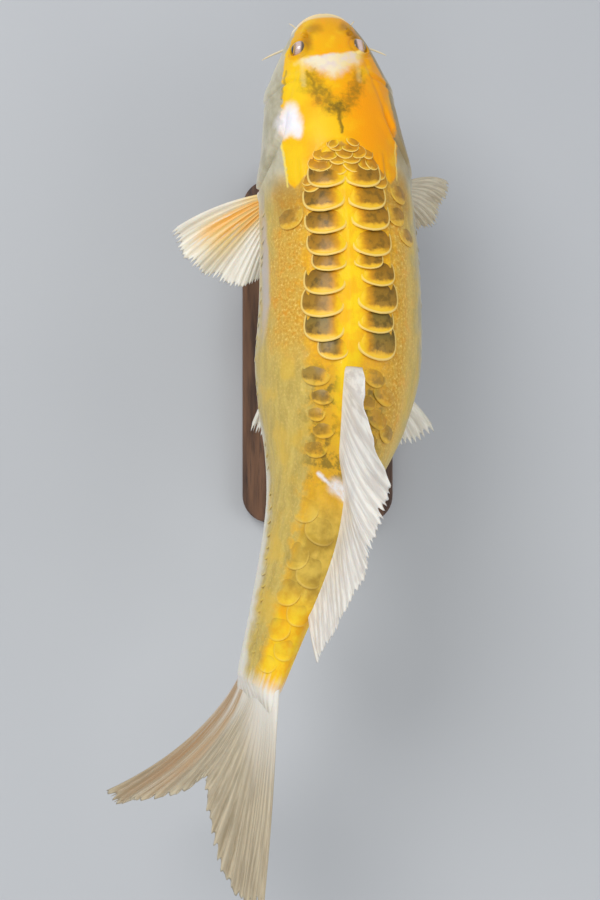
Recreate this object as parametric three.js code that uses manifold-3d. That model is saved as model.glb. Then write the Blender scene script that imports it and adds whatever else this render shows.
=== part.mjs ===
// A life-size koi carp on a plain display stand, in millimetres.
// +Y is the way the head points, +X is the fish's right side and +Z is up.
// The origin is the centre of the underside of the stand's base.
import * as THREE from "three";
import { mergeVertices } from "three/addons/utils/BufferGeometryUtils.js";
import Module from "manifold-3d";

// ---- Driving dimensions -------------------------------------------------------------------

const BODY_LENGTH = 433; // tip of the snout to the root of the tail fin, along the spine
const BODY_WIDTH = 107; // widest, at the front of the dorsal fin
const AXIS_HEIGHT = 150; // the body's axis over the floor
const SNOUT = [-8, 207]; // where the tip of the snout is, seen from above

const HEAD_TURN = 3.5; // how far the head end of the spine leans to the right, in degrees
const TAIL_TURN = -17.5; // and the tail end, to the left
const BEND = [0.27, 0.86]; // the share of the length over which the spine turns
const TAIL_ROLL = 22; // how far the tail end is rolled over, its top to the right
const TWIST = [0.5, 1]; // the share of the length over which the body twists

const HEAD_END = 100; // the skull's rear face, from the tip of the snout
const TRUNK_SPLIT = 224; // where the fore trunk meets the hind trunk
const WRIST_START = 352; // where the hind trunk meets the wrist of the tail
const GAP = 0.3; // left between pieces that touch
const FACETS = 28; // round the body

const EYE = { along: 27.5, turn: 43, sunk: 4, radius: 6 };
const NOSTRIL = { along: 15, turn: 34, radius: 2.2 };
const GILL = { along: 78, up: -11, half_length: 31, half_height: 33, thick: 4 };
const JAW = { lip: -17, corner: 19, corner_up: -27, hinge: 27 };

const FIN_THICK = { root: 1.8, edge: 0.9 };
const SUNK = 3; // how far a fin or feeler starts under the skin, before it is cut to fit

const BASE = { long: 250, wide: 110, thick: 14, corner: 18, edge: 1.5 };
const ROD = { radius: 5, places: { front: 140, rear: 285 }, facets: 20 };

// The widest line runs along the body at this height from the axis, and meets the axis at the vent.
const WIDEST_LINE = { snout: -14, vent: 290 };
// How square the section is above and below the widest line, where 2 is an ellipse.
const SQUARE = { above: 2, below: 2.2 };

// The body's outline at named stations, counted from the tip of the snout. The top and underside
// are heights from the axis, and half is half the width.
const STATIONS = [
  { name: "tip", at: 0, top: -14, low: -14, half: 0 },
  { name: "lips", at: 5, top: -2, low: -23, half: 15 },
  { name: "muzzle", at: 14, top: 7.5, low: -30, half: 24 },
  { name: "nostrils", at: 26, top: 16, low: -36.5, half: 30.5 },
  { name: "cheeks", at: 42, top: 25, low: -42, half: 37 },
  { name: "brow", at: 58, top: 32.5, low: -47, half: 42 },
  { name: "gills", at: 88, top: 43, low: -53, half: 46.5 },
  { name: "nape", at: 115, top: 50, low: -57, half: 49.5 },
  { name: "shoulders", at: 150, top: 57, low: -61, half: 51 },
  { name: "back", at: 190, top: 62, low: -63.5, half: 52.5 },
  { name: "dorsal", at: 222, top: 64, low: -64, half: 53.5 },
  { name: "belly", at: 258, top: 61.5, low: -62, half: 48 },
  { name: "vent", at: 292, top: 54, low: -54.5, half: 37 },
  { name: "loin", at: 325, top: 44, low: -45, half: 27.5 },
  { name: "flank", at: 360, top: 35, low: -35.5, half: 21.5 },
  { name: "wrist", at: 395, top: 28, low: -28, half: 17 },
  { name: "root", at: 433, top: 25, low: -25, half: 12 },
];

// Each fin grows from the body between two places, given as the distance from the tip of the snout
// and the angle round the body from the ridge of the back. Its rays run from the leading one,
// at 0, to the last, at 1. Each bends from its direction at the root to that at its tip, as
// [out or right, back, up]. A fin has facets across its rays and along them, and its web ripples.
const FINS = {
  dorsal: {
    from: [224, 0],
    to: [380, 0],
    facets: [16, 5],
    rays: [
      { at: 0.0, long: 56, root: [0.1, 0.74, 0.66], tip: [0.3, 0.9, 0.3] },
      { at: 0.12, long: 86, root: [0.1, 0.8, 0.6], tip: [0.5, 0.86, 0.05] },
      { at: 0.45, long: 74, root: [0.12, 0.8, 0.58], tip: [0.62, 0.8, 0.0] },
      { at: 0.8, long: 48, root: [0.14, 0.8, 0.58], tip: [0.62, 0.8, 0.0] },
      { at: 1.0, long: 34, root: [0.16, 0.82, 0.54], tip: [0.6, 0.84, 0.0] },
    ],
    ripple: { high: 2, waves: 3.5 },
  },
  anal: {
    from: [346, 180],
    to: [374, 180],
    facets: [6, 5],
    rays: [
      { at: 0.0, long: 50, root: [0.2, 0.55, -0.8], tip: [0.4, 0.75, -0.5] },
      { at: 0.2, long: 60, root: [0.2, 0.6, -0.78], tip: [0.4, 0.8, -0.4] },
      { at: 1.0, long: 34, root: [0.2, 0.85, -0.5], tip: [0.3, 0.9, -0.2] },
    ],
    ripple: { high: 1.2, waves: 1.5 },
  },
  pectoral_left: {
    from: [109, -112],
    to: [121, -133],
    facets: [14, 5],
    rays: [
      { at: 0.0, long: 73, root: [0.97, 0.06, -0.2], tip: [0.84, 0.5, -0.1] },
      { at: 0.3, long: 70, root: [0.84, 0.46, -0.22], tip: [0.76, 0.62, -0.12] },
      { at: 0.7, long: 60, root: [0.56, 0.78, -0.24], tip: [0.46, 0.86, -0.15] },
      { at: 1.0, long: 44, root: [0.34, 0.88, -0.3], tip: [0.16, 0.96, -0.2] },
    ],
    ripple: { high: 2, waves: 3 },
  },
  pectoral_right: {
    from: [109, 112],
    to: [121, 133],
    facets: [14, 5],
    rays: [
      { at: 0.0, long: 66, root: [0.84, -0.4, -0.34], tip: [0.5, 0.15, -0.85] },
      { at: 0.3, long: 68, root: [0.72, -0.16, -0.66], tip: [0.5, 0.4, -0.76] },
      { at: 0.7, long: 58, root: [0.5, 0.1, -0.84], tip: [0.3, 0.5, -0.8] },
      { at: 1.0, long: 42, root: [0.3, 0.4, -0.85], tip: [0.2, 0.66, -0.7] },
    ],
    ripple: { high: 2, waves: 3 },
  },
  pelvic_left: {
    from: [222, -146],
    to: [228, -161],
    facets: [9, 5],
    rays: [
      { at: 0.0, long: 58, root: [0.54, 0.74, -0.4], tip: [0.22, 0.92, -0.3] },
      { at: 0.4, long: 56, root: [0.34, 0.84, -0.42], tip: [0.14, 0.94, -0.28] },
      { at: 1.0, long: 38, root: [0.1, 0.92, -0.4], tip: [0.0, 0.97, -0.24] },
    ],
    ripple: { high: 1.2, waves: 2 },
  },
  pelvic_right: {
    from: [222, 146],
    to: [228, 161],
    facets: [9, 5],
    rays: [
      { at: 0.0, long: 66, root: [0.9, 0.4, -0.2], tip: [0.6, 0.78, -0.16] },
      { at: 0.4, long: 62, root: [0.66, 0.68, -0.32], tip: [0.4, 0.88, -0.22] },
      { at: 1.0, long: 42, root: [0.2, 0.9, -0.4], tip: [0.1, 0.96, -0.24] },
    ],
    ripple: { high: 1.2, waves: 2 },
  },
};

// The tail fin stands on the end of the body. Its upper lobe falls to the right and trails
// straight back, and its lower lobe sweeps out to the left.
const TAIL_FIN = {
  along: 428,
  half_height: 24,
  facets: [20, 7],
  rays: [
    { at: 0.0, long: 144, root: [0.34, 0.84, 0.36], tip: [-0.1, 0.99, 0.1] },
    { at: 0.25, long: 142, root: [0.14, 0.96, 0.24], tip: [0.0, 0.98, 0.0] },
    { at: 0.5, long: 78, root: [-0.14, 0.98, -0.04], tip: [-0.26, 0.95, -0.06] },
    { at: 0.75, long: 126, root: [-0.1, 0.92, -0.36], tip: [-0.5, 0.82, -0.06] },
    { at: 1.0, long: 142, root: [-0.06, 0.84, -0.55], tip: [-0.64, 0.76, -0.1] },
  ],
  ripple: { high: 3.5, waves: 3 },
};

// The feelers: a short one above the lip and a long one at the corner of the mouth, on each side.
const BARBELS = {
  short: { along: 11, turn: 92, long: 14, thick: 1.2, root: [0.7, -0.6, -0.3], tip: [0.4, -0.2, -0.8] },
  long: { along: 19, turn: 104, long: 19, thick: 1.5, root: [0.95, 0.15, -0.25], tip: [0.8, 0.45, 0.1] },
};

const LOOKS = {
  skin: { color: 0xe8b31e, roughness: 0.3 },
  gill: { color: 0xd9b765, roughness: 0.3 },
  flank: { color: 0xc9a65a, roughness: 0.3 },
  fin: { color: 0xe6e0d0, roughness: 0.4 },
  eye: { color: 0x8f8579, roughness: 0.1 },
  barbel: { color: 0xe4cf9f, roughness: 0.4 },
  base: { color: 0x3a2a20, roughness: 0.45 },
  rod: { color: 0xc4c6c8, roughness: 0.3, metalness: 1.0 },
};

// ---- Curves -------------------------------------------------------------------------------

const radians = THREE.MathUtils.degToRad;
const { lerp, clamp, smoothstep } = THREE.MathUtils;

// A smooth curve through the given places and values, which never overshoots them: its slope is
// the harmonic mean of the slopes on either side, or level at a peak.
function curveThrough(places, values) {
  const rise = values.slice(1).map((next, i) => (next - values[i]) / (places[i + 1] - places[i]));
  const slope = values.map((_, i) => {
    const [before, after] = [rise[i - 1] ?? rise[i], rise[i] ?? rise[i - 1]];
    return before * after > 0 ? (2 * before * after) / (before + after) : 0;
  });
  return (at) => {
    const next = places.findIndex((place) => place > at);
    const i = clamp((next < 0 ? places.length : next) - 1, 0, places.length - 2);
    const step = places[i + 1] - places[i];
    const t = clamp((at - places[i]) / step, 0, 1);
    const start = (1 + 2 * t) * (1 - t) ** 2 * values[i] + t * (1 - t) ** 2 * step * slope[i];
    return start + t * t * (3 - 2 * t) * values[i + 1] - t * t * (1 - t) * step * slope[i + 1];
  };
}

// The snout is blunt because the outline is drawn against the square root of the distance.
function outline(key) {
  const drawn = curveThrough(STATIONS.map((s) => Math.sqrt(s.at)), STATIONS.map((s) => s[key]));
  return (along) => drawn(Math.sqrt(Math.max(along, 0)));
}

const top = outline("top");
const low = outline("low");
const halfWidth = outline("half");
const level = (along) => lerp(WIDEST_LINE.snout, 0, clamp(along / WIDEST_LINE.vent, 0, 1));

// ---- The spine ----------------------------------------------------------------------------

function heading(along) {
  return radians(lerp(HEAD_TURN, TAIL_TURN, smoothstep(along / BODY_LENGTH, ...BEND)));
}

// The spine's place at every millimetre of its length, seen from above.
const spine = [new THREE.Vector2(...SNOUT)];
for (let along = 0.5; along < BODY_LENGTH + 5; along += 1) {
  const turn = heading(along);
  spine.push(new THREE.Vector2(Math.sin(turn), -Math.cos(turn)).add(spine.at(-1)));
}

// The body's own directions at a distance from the tip of the snout.
function frameAt(along) {
  const i = clamp(Math.floor(along), 0, spine.length - 2);
  const on = new THREE.Vector2().lerpVectors(spine[i], spine[i + 1], along - i);
  const turn = heading(along);
  const back = new THREE.Vector3(Math.sin(turn), -Math.cos(turn), 0);
  const roll = -radians(TAIL_ROLL * smoothstep(along / BODY_LENGTH, ...TWIST));
  const right = new THREE.Vector3(Math.cos(turn), Math.sin(turn), 0).applyAxisAngle(back, roll);
  const up = new THREE.Vector3(0, 0, 1).applyAxisAngle(back, roll);
  return { origin: new THREE.Vector3(on.x, on.y, AXIS_HEIGHT), right, back, up };
}

function moved(start, frame, right, back, up) {
  return start
    .clone()
    .addScaledVector(frame.right, right)
    .addScaledVector(frame.back, back)
    .addScaledVector(frame.up, up);
}

// A point of the body. turn goes round it from the ridge of the back to the right, share is 1 at
// the skin and 0 in the middle of the section, and grow moves the skin outwards.
function bodyPoint(along, turn, share = 1, grow = 0) {
  const upper = Math.cos(turn) >= 0;
  const power = 2 / (upper ? SQUARE.above : SQUARE.below);
  const height = upper ? top(along) - level(along) : level(along) - low(along);
  const out = Math.sign(Math.sin(turn)) * Math.abs(Math.sin(turn)) ** power;
  const rise = Math.sign(Math.cos(turn)) * Math.abs(Math.cos(turn)) ** power;
  const frame = frameAt(along);
  const right = share * out * (halfWidth(along) + grow);
  return moved(frame.origin, frame, right, 0, level(along) + share * rise * (height + grow));
}

// ---- Making solids ------------------------------------------------------------------------

const wasm = await Module();
wasm.setup();

// Moves every vertex of a geometry by a function from one Vector3 to another.
function warped(geometry, move) {
  const place = geometry.getAttribute("position");
  for (let i = 0; i < place.count; i++) {
    place.setXYZ(i, ...move(new THREE.Vector3().fromBufferAttribute(place, i)).toArray());
  }
  return geometry;
}

function solid(geometry) {
  geometry.deleteAttribute("normal");
  geometry.deleteAttribute("uv");
  const merged = mergeVertices(geometry, 1e-3);
  const vertProperties = merged.getAttribute("position").array;
  const triVerts = new Uint32Array(merged.index.array);
  return new wasm.Manifold(new wasm.Mesh({ numProp: 3, vertProperties, triVerts }));
}

function geometryOf(made) {
  const mesh = made.getMesh();
  return new THREE.BufferGeometry()
    .setAttribute("position", new THREE.BufferAttribute(mesh.vertProperties, 3))
    .setIndex(new THREE.BufferAttribute(mesh.triVerts, 1));
}

// A length of the body: a cylinder whose wall is carried out to the skin. A crowd over 1 puts its
// rows closer together towards the snout.
function length(from, to, rows, { grow = 0, crowd = 1 } = {}) {
  const cylinder = new THREE.CylinderGeometry(1, 1, 1, FACETS, rows);
  return solid(
    warped(cylinder, (p) => {
      const along = lerp(from, to, (0.5 - p.y) ** crowd);
      return bodyPoint(along, Math.atan2(p.x, p.z), Math.hypot(p.x, p.z), grow);
    }),
  );
}

// A prism through the body from the middle to one side, or right across it for side 0. Its
// outline is seen from the fish's left, with x the distance from the tip of the snout and y up.
function crossPrism(shape, side, curveSegments = 9) {
  const depth = side ? BODY_WIDTH : 2 * BODY_WIDTH;
  const right = side < 0 ? 0 : BODY_WIDTH;
  const prism = new THREE.ExtrudeGeometry(shape, { depth, bevelEnabled: false, curveSegments });
  return solid(warped(prism, (p) => moved(frameAt(p.x).origin, frameAt(p.x), right - p.z, 0, p.y)));
}

// The place at a share of the way along a ray that bends from its root's direction to its tip's.
function bentRay(start, frame, long, root, tip, share) {
  const part = (i) => long * (share * root[i] + 0.5 * share * share * (tip[i] - root[i]));
  return moved(start, frame, part(0), part(1), part(2));
}

// A fin: a thin slab whose length follows the rays and whose width goes from the leading ray to
// the last. rootAt gives where a ray grows from, and side is -1 on the left.
function fin({ rays, facets, ripple }, rootAt, side) {
  const steer = (pick) => curveThrough(rays.map((ray) => ray.at), rays.map(pick));
  const long = steer((ray) => ray.long);
  const root = [0, 1, 2].map((i) => steer((ray) => ray.root[i] * (i ? 1 : side)));
  const tip = [0, 1, 2].map((i) => steer((ray) => ray.tip[i] * (i ? 1 : side)));
  const web = (at, share) => {
    const { frame, start } = rootAt(at);
    return bentRay(start, frame, long(at), root.map((f) => f(at)), tip.map((f) => f(at)), share);
  };
  const slab = new THREE.BoxGeometry(1, 1, 1, facets[0], facets[1], 1);
  return solid(
    warped(slab, (p) => {
      const [at, share] = [p.x + 0.5, p.y + 0.5];
      const across = web(Math.min(at + 0.01, 1), share).sub(web(Math.max(at - 0.01, 0), share));
      const onwards = web(at, Math.min(share + 0.01, 1)).sub(web(at, Math.max(share - 0.01, 0)));
      const normal = across.cross(onwards).normalize();
      const wave = ripple.high * share * share * Math.sin(2 * Math.PI * ripple.waves * at);
      const thick = lerp(FIN_THICK.root, FIN_THICK.edge, share);
      return web(at, share).addScaledVector(normal, wave + p.z * thick);
    }),
  );
}

// ---- The parts ----------------------------------------------------------------------------

// What grows from the body is cut by this, which stands a gap proud of the skin.
const cutter = length(0.3, BODY_LENGTH + GAP, 64, { grow: GAP, crowd: 1.3 });

function bodyFin({ from, to, ...shape }, side) {
  const rootAt = (at) => {
    const along = lerp(from[0], to[0], at);
    return {
      frame: frameAt(along),
      start: bodyPoint(along, radians(lerp(from[1], to[1], at)), 1, -SUNK),
    };
  };
  return fin(shape, rootAt, side).subtract(cutter);
}

function tailFin({ along, half_height, ...shape }) {
  const frame = frameAt(along);
  const rootAt = (at) => ({
    frame,
    start: moved(frame.origin, frame, 0, 0, lerp(half_height, -half_height, at)),
  });
  return fin(shape, rootAt, 1).subtract(cutter);
}

function ball(centre, radius, facets) {
  const sphere = new THREE.SphereGeometry(radius, facets, Math.round(0.65 * facets));
  return solid(sphere.translate(...centre.toArray()));
}

function eyeball(side, grow) {
  const centre = bodyPoint(EYE.along, side * radians(EYE.turn), 1, -EYE.sunk);
  return ball(centre, EYE.radius + grow, 14);
}

function nostril(side) {
  return ball(bodyPoint(NOSTRIL.along, side * radians(NOSTRIL.turn)), NOSTRIL.radius, 8);
}

// A gill cover is a plate of the body's own skin, cut to an oval. Its slot is the room it takes.
function gillCover(side) {
  const { along, up, half_length, half_height, thick } = GILL;
  const oval = (grow) => {
    const drawn = new THREE.Shape();
    drawn.absellipse(along, up, half_length + grow, half_height + grow, 0, 2 * Math.PI);
    return crossPrism(drawn, side);
  };
  const core = (grow) => length(along - half_length - 5, along + half_length + 5, 8, { grow });
  return {
    plate: core(0).subtract(core(-thick)).intersect(oval(0)),
    slot: core(3).subtract(core(-thick - GAP)).intersect(oval(GAP)),
  };
}

// The lower jaw is what lies under the line of the mouth, in front of its hinge.
function jawWedge(shift) {
  const wedge = new THREE.Shape();
  wedge.moveTo(-5, JAW.lip + shift);
  wedge.lineTo(3, JAW.lip + shift);
  wedge.lineTo(JAW.corner + shift, JAW.corner_up + shift);
  wedge.lineTo(JAW.hinge + shift, low(JAW.hinge) - 5);
  wedge.lineTo(-5, low(JAW.hinge) - 5);
  return crossPrism(wedge, 0);
}

function barbel({ along, turn, long, thick, root, tip }, side) {
  const frame = frameAt(along);
  const start = bodyPoint(along, side * radians(turn), 1, -SUNK);
  const sided = ([out, back, up]) => [side * out, back, up];
  const line = (share) => bentRay(start, frame, long + SUNK, sided(root), sided(tip), share);
  const stalk = new THREE.CylinderGeometry(0.35 * thick, thick, 1, 8, 6);
  return solid(
    warped(stalk, (p) => {
      const share = p.y + 0.5;
      const ahead = line(Math.min(share + 0.02, 1)).sub(line(Math.max(share - 0.02, 0))).normalize();
      const across = new THREE.Vector3().crossVectors(frame.up, ahead).normalize();
      const rise = new THREE.Vector3().crossVectors(ahead, across);
      return line(share).addScaledVector(across, p.x).addScaledVector(rise, -p.z);
    }),
  ).subtract(cutter);
}

// The base is a plate with round corners and a softened edge, flat on the floor.
function standBase() {
  const [x, y] = [BASE.wide / 2 - BASE.edge, BASE.long / 2 - BASE.edge];
  const r = BASE.corner;
  const plate = new THREE.Shape();
  plate.moveTo(r - x, -y);
  plate.absarc(x - r, r - y, r, -Math.PI / 2, 0);
  plate.absarc(x - r, y - r, r, 0, Math.PI / 2);
  plate.absarc(r - x, y - r, r, Math.PI / 2, Math.PI);
  plate.absarc(r - x, r - y, r, Math.PI, 1.5 * Math.PI);
  const made = new THREE.ExtrudeGeometry(plate, {
    depth: BASE.thick - 2 * BASE.edge,
    bevelThickness: BASE.edge,
    bevelSize: BASE.edge,
    bevelSegments: 1,
    curveSegments: 5,
  });
  return solid(made.translate(0, 0, BASE.edge));
}

// A rod stands on the base and meets the belly.
function standRod(along) {
  const { x, y } = frameAt(along).origin;
  const high = AXIS_HEIGHT - BASE.thick - GAP;
  const made = new THREE.CylinderGeometry(ROD.radius, ROD.radius, high, ROD.facets);
  made.rotateX(Math.PI / 2).translate(x, y, AXIS_HEIGHT - high / 2);
  return solid(made).subtract(cutter);
}

// ---- Assembly -----------------------------------------------------------------------------

const koi = new THREE.Group();

function add(name, made, look) {
  const mesh = new THREE.Mesh(geometryOf(made), new THREE.MeshStandardMaterial(look));
  mesh.name = name;
  koi.add(mesh);
}

let head = length(0.3, HEAD_END, 15, { crowd: 1.7 });
let trunkFore = length(HEAD_END + GAP, TRUNK_SPLIT, 9);
for (const [name, side] of [["left", -1], ["right", 1]]) {
  const cover = gillCover(side);
  head = head.subtract(cover.slot).subtract(eyeball(side, GAP)).subtract(nostril(side));
  trunkFore = trunkFore.subtract(cover.slot);
  add(`gill_cover_${name}`, cover.plate, LOOKS.gill);
  add(`eye_${name}`, eyeball(side, 0), LOOKS.eye);
  for (const [kind, shape] of Object.entries(BARBELS)) {
    add(`barbel_${kind}_${name}`, barbel(shape, side), LOOKS.barbel);
  }
}
add("head", head.subtract(jawWedge(0)), LOOKS.skin);
add("jaw_lower", head.intersect(jawWedge(-GAP)), LOOKS.gill);
add("trunk_fore", trunkFore, LOOKS.flank);
add("trunk_hind", length(TRUNK_SPLIT + GAP, WRIST_START, 10), LOOKS.flank);
add("tail_wrist", length(WRIST_START + GAP, BODY_LENGTH, 6), LOOKS.skin);

for (const [name, shape] of Object.entries(FINS)) {
  add(`fin_${name}`, bodyFin(shape, name.endsWith("_left") ? -1 : 1), LOOKS.fin);
}
add("fin_tail", tailFin(TAIL_FIN), LOOKS.fin);

add("stand_base", standBase(), LOOKS.base);
for (const [name, along] of Object.entries(ROD.places)) {
  add(`stand_rod_${name}`, standRod(along), LOOKS.rod);
}

export default koi;
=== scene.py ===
# %% [markdown]
# # A life-size koi carp on a display stand
# A museum model of a fish starts as a plain carved body on two rods. That body is the frame that
# is loaded here, and nothing in it is moved. The lesson covers it with what makes it a fish: one
# skin with a worked head, eyes, feelers, fins with rays, large mirror scales and the paint.
# Lengths are in millimetres until a mesh is filled, and the model's own frame is kept: +Y is the
# way the head points, +X is the fish's right and +Z is up.

# %% Load the frame
import math

import bmesh
import bpy
import numpy as np
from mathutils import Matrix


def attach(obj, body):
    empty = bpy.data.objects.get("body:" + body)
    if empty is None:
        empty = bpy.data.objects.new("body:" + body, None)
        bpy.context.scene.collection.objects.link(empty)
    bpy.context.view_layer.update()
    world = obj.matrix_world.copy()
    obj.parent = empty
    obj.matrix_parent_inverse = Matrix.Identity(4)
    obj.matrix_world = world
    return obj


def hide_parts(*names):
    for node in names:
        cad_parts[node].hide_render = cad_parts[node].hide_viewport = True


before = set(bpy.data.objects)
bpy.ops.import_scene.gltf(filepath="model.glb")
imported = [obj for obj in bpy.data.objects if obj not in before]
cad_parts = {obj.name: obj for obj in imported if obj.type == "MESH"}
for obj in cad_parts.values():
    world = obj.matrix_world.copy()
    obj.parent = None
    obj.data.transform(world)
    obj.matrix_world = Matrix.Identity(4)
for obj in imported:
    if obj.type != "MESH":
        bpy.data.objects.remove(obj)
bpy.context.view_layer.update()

MM = 0.001
BODY = "root"

# %% [markdown]
# ## The shape of the body
# A carp's body is a row of egg-shaped sections along a spine. A sculptor could push a ball about
# until it looks right, but here the fins, scales and paint all have to know where the skin is, so
# the body is a formula. Two numbers find any place on it: how far along the spine it is from the
# tip of the snout, and the angle round the body from the ridge of the back.

# %% The outline at named stations
# name, distance along the spine, height of the back and of the belly over the spine, half width
STATIONS = [
    ("tip", 0, -14, -14, 0),
    ("lips", 5, -2, -23, 15),
    ("muzzle", 14, 7.5, -30, 24),
    ("nostrils", 26, 16, -36.5, 30.5),
    ("cheeks", 42, 25, -42, 37),
    ("brow", 58, 32.5, -47, 42),
    ("gills", 88, 43, -53, 46.5),
    ("nape", 115, 50, -57, 49.5),
    ("shoulders", 150, 57, -61, 51),
    ("back", 190, 62, -63.5, 52.5),
    ("dorsal", 222, 64, -64, 53.5),
    ("belly", 258, 61.5, -62, 48),
    ("vent", 292, 54, -54.5, 37),
    ("loin", 325, 44, -45, 27.5),
    ("flank", 360, 35, -35.5, 21.5),
    ("wrist", 395, 28, -28, 17),
    ("root", 433, 25, -25, 12),
]
BODY_LENGTH = STATIONS[-1][1]
AXIS_HEIGHT = 150
SNOUT = (-8, 207)
# the spine's heading in degrees at the head and tail, and the shares where it starts and stops
TURN = {"head": 3.5, "tail": -17.5, "from": 0.27, "to": 0.86}
TWIST = {"tail": 22, "from": 0.5, "to": 1.0}
# the widest line starts this far under the spine at the snout, and meets it at the vent
WIDEST = {"snout": -14, "vent": 290}
SQUARE_BELOW = 2.2


def step(value, low, high):
    """0 below low, 1 above high, and smooth between."""
    share = np.clip((value - low) / (high - low), 0, 1)
    return share * share * (3 - 2 * share)


def curve_through(places, values):
    """A smooth curve through the places and values, which never overshoots them."""
    places, values = np.array(places, float), np.array(values, float)
    rise = np.diff(values) / np.diff(places)
    before, after = np.append(rise[:1], rise), np.append(rise, rise[-1:])
    total = np.where(before * after > 0, before + after, 1)
    slope = np.where(before * after > 0, 2 * before * after / total, 0)

    def at(place):
        i = np.clip(np.searchsorted(places, place, side="right") - 1, 0, len(places) - 2)
        gap = places[i + 1] - places[i]
        t = np.clip((place - places[i]) / gap, 0, 1)
        first = (1 + 2 * t) * (1 - t) ** 2 * values[i] + t * (1 - t) ** 2 * gap * slope[i]
        return first + t * t * (3 - 2 * t) * values[i + 1] - t * t * (1 - t) * gap * slope[i + 1]

    return at


def outline(column):
    """One column of the stations, drawn against the root of the distance for a blunt snout."""
    drawn = curve_through([math.sqrt(s[1]) for s in STATIONS], [s[column] for s in STATIONS])
    return lambda along: drawn(np.sqrt(np.maximum(along, 0)))


back_height, belly_height, half_width = outline(2), outline(3), outline(4)
print("body", BODY_LENGTH, "mm long and", 2 * half_width(np.array([222.0]))[0], "mm wide")

# %% [markdown]
# The spine swings to the left towards the tail, and the tail end rolls over, as in a fish that is
# turning. At any distance the body has its own directions: right, back and up. A section is half
# an ellipse above its widest line and a slightly squarer half below.

# %% The spine and the sections
def heading(along):
    share = step(along / BODY_LENGTH, TURN["from"], TURN["to"])
    return np.radians(TURN["head"] + (TURN["tail"] - TURN["head"]) * share)


SPINE_AT = np.arange(0, BODY_LENGTH + 30)
_headings = heading(SPINE_AT[:-1] + 0.5)
SPINE_X = SNOUT[0] + np.concatenate([[0], np.cumsum(np.sin(_headings))])
SPINE_Y = SNOUT[1] - np.concatenate([[0], np.cumsum(np.cos(_headings))])


def body_frame(along):
    """The spine's place and the body's right, back and up there, each with xyz last."""
    along = np.asarray(along, float)
    turn = heading(along)
    roll = np.radians(TWIST["tail"] * step(along / BODY_LENGTH, TWIST["from"], TWIST["to"]))
    x, y = np.interp(along, SPINE_AT, SPINE_X), np.interp(along, SPINE_AT, SPINE_Y)
    origin = np.stack([x, y, np.full_like(x, AXIS_HEIGHT)], -1)
    back = np.stack([np.sin(turn), -np.cos(turn), 0 * turn], -1)
    level = np.stack([np.cos(turn), np.sin(turn), 0 * turn], -1)
    cos, sin = np.cos(roll)[..., None], np.sin(roll)[..., None]
    upright = np.array([0, 0, 1.0])
    return origin, level * cos - upright * sin, back, upright * cos + level * sin


def section(along, turn, grow=0.0):
    """How far out and how far up from the spine the skin is."""
    upper = np.cos(turn) >= 0
    power = np.where(upper, 1, 2 / SQUARE_BELOW)
    widest = WIDEST["snout"] * (1 - np.clip(along / WIDEST["vent"], 0, 1))
    height = np.where(upper, back_height(along) - widest, widest - belly_height(along))
    out = np.sign(np.sin(turn)) * np.abs(np.sin(turn)) ** power * (half_width(along) + grow)
    up = np.sign(np.cos(turn)) * np.abs(np.cos(turn)) ** power * (height + grow)
    return out, widest + up


def placed(along, out, up):
    """A point that is that far out and up from the spine."""
    origin, right, _, upward = body_frame(along)
    return origin + right * np.asarray(out)[..., None] + upward * np.asarray(up)[..., None]


def body_point(along, turn, grow=0.0):
    along, turn = np.broadcast_arrays(np.asarray(along, float), np.asarray(turn, float))
    return placed(along, *section(along, turn, grow))


# %% [markdown]
# Paint and scales are laid out with a tape measure: so far from the snout, and so far round from
# the ridge, positive on the fish's right. This table turns the tape's reading into an angle.

# %% Measuring round the body
def tape_round(points):
    """Millimetres round the body from the middle column, for points on a grid of rows."""
    lengths = np.linalg.norm(np.diff(points, axis=1), axis=2)
    tape = np.concatenate([np.zeros((len(lengths), 1)), np.cumsum(lengths, axis=1)], axis=1)
    middle = tape.shape[1] // 2
    return tape - tape[:, middle : middle + 1]


ANGLES = np.radians(np.arange(-180, 181))
GIRTH = tape_round(body_point(np.arange(0, BODY_LENGTH + 1.0)[:, None], ANGLES[None, :]))


def turn_at(along, arc):
    """The angle round the body that lies arc millimetres from the ridge."""
    along, arc = np.broadcast_arrays(np.asarray(along, float), np.asarray(arc, float))
    flat = np.clip(along.ravel(), 0, BODY_LENGTH - 1)
    row = flat.astype(int)
    rest = (flat - row)[:, None]
    tape = GIRTH[row] * (1 - rest) + GIRTH[row + 1] * rest
    found = [np.interp(a, line, ANGLES) for a, line in zip(arc.ravel(), tape)]
    return np.reshape(found, along.shape)


print("girth at the shoulders", round(float(GIRTH[150, -1] - GIRTH[150, 0])), "mm")

# %% [markdown]
# ## Wrapping a sheet
# Skin, fins and feelers are all one kind of thing: a sheet of small squares carried onto a shape
# and closed where its edges meet. Blender's grid operator makes the squares. The place of every
# point then comes from a formula, for which numpy is far quicker than the editor's tools. Points
# that fall together at seams and ends are merged. The operator that turns faces outwards can
# guess wrong on a thin or curly shape, so the volume is measured too: it is negative on a shape
# that is inside out, and all its faces are then turned round.

# %% A wrapped sheet
# points closer than this fall together, in metres: on a sheet, and on the finer scales
SHEET_GAP = 1e-6
SCALE_GAP = 1e-7


def fill_maps(mesh, maps):
    """Writes UV maps that are given for each vertex."""
    corners = np.empty(len(mesh.loops), np.int32)
    mesh.loops.foreach_get("vertex_index", corners)
    for name, values in maps.items():
        layer = mesh.uv_layers.new(name=name)
        layer.uv.foreach_set("vector", np.asarray(values, np.float32)[corners].ravel())


def bake_map(across, down):
    """The whole sheet laid flat in the square that the paint is baked to, with a margin."""
    return np.stack([across, down], -1) * 0.98 + 0.01


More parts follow.
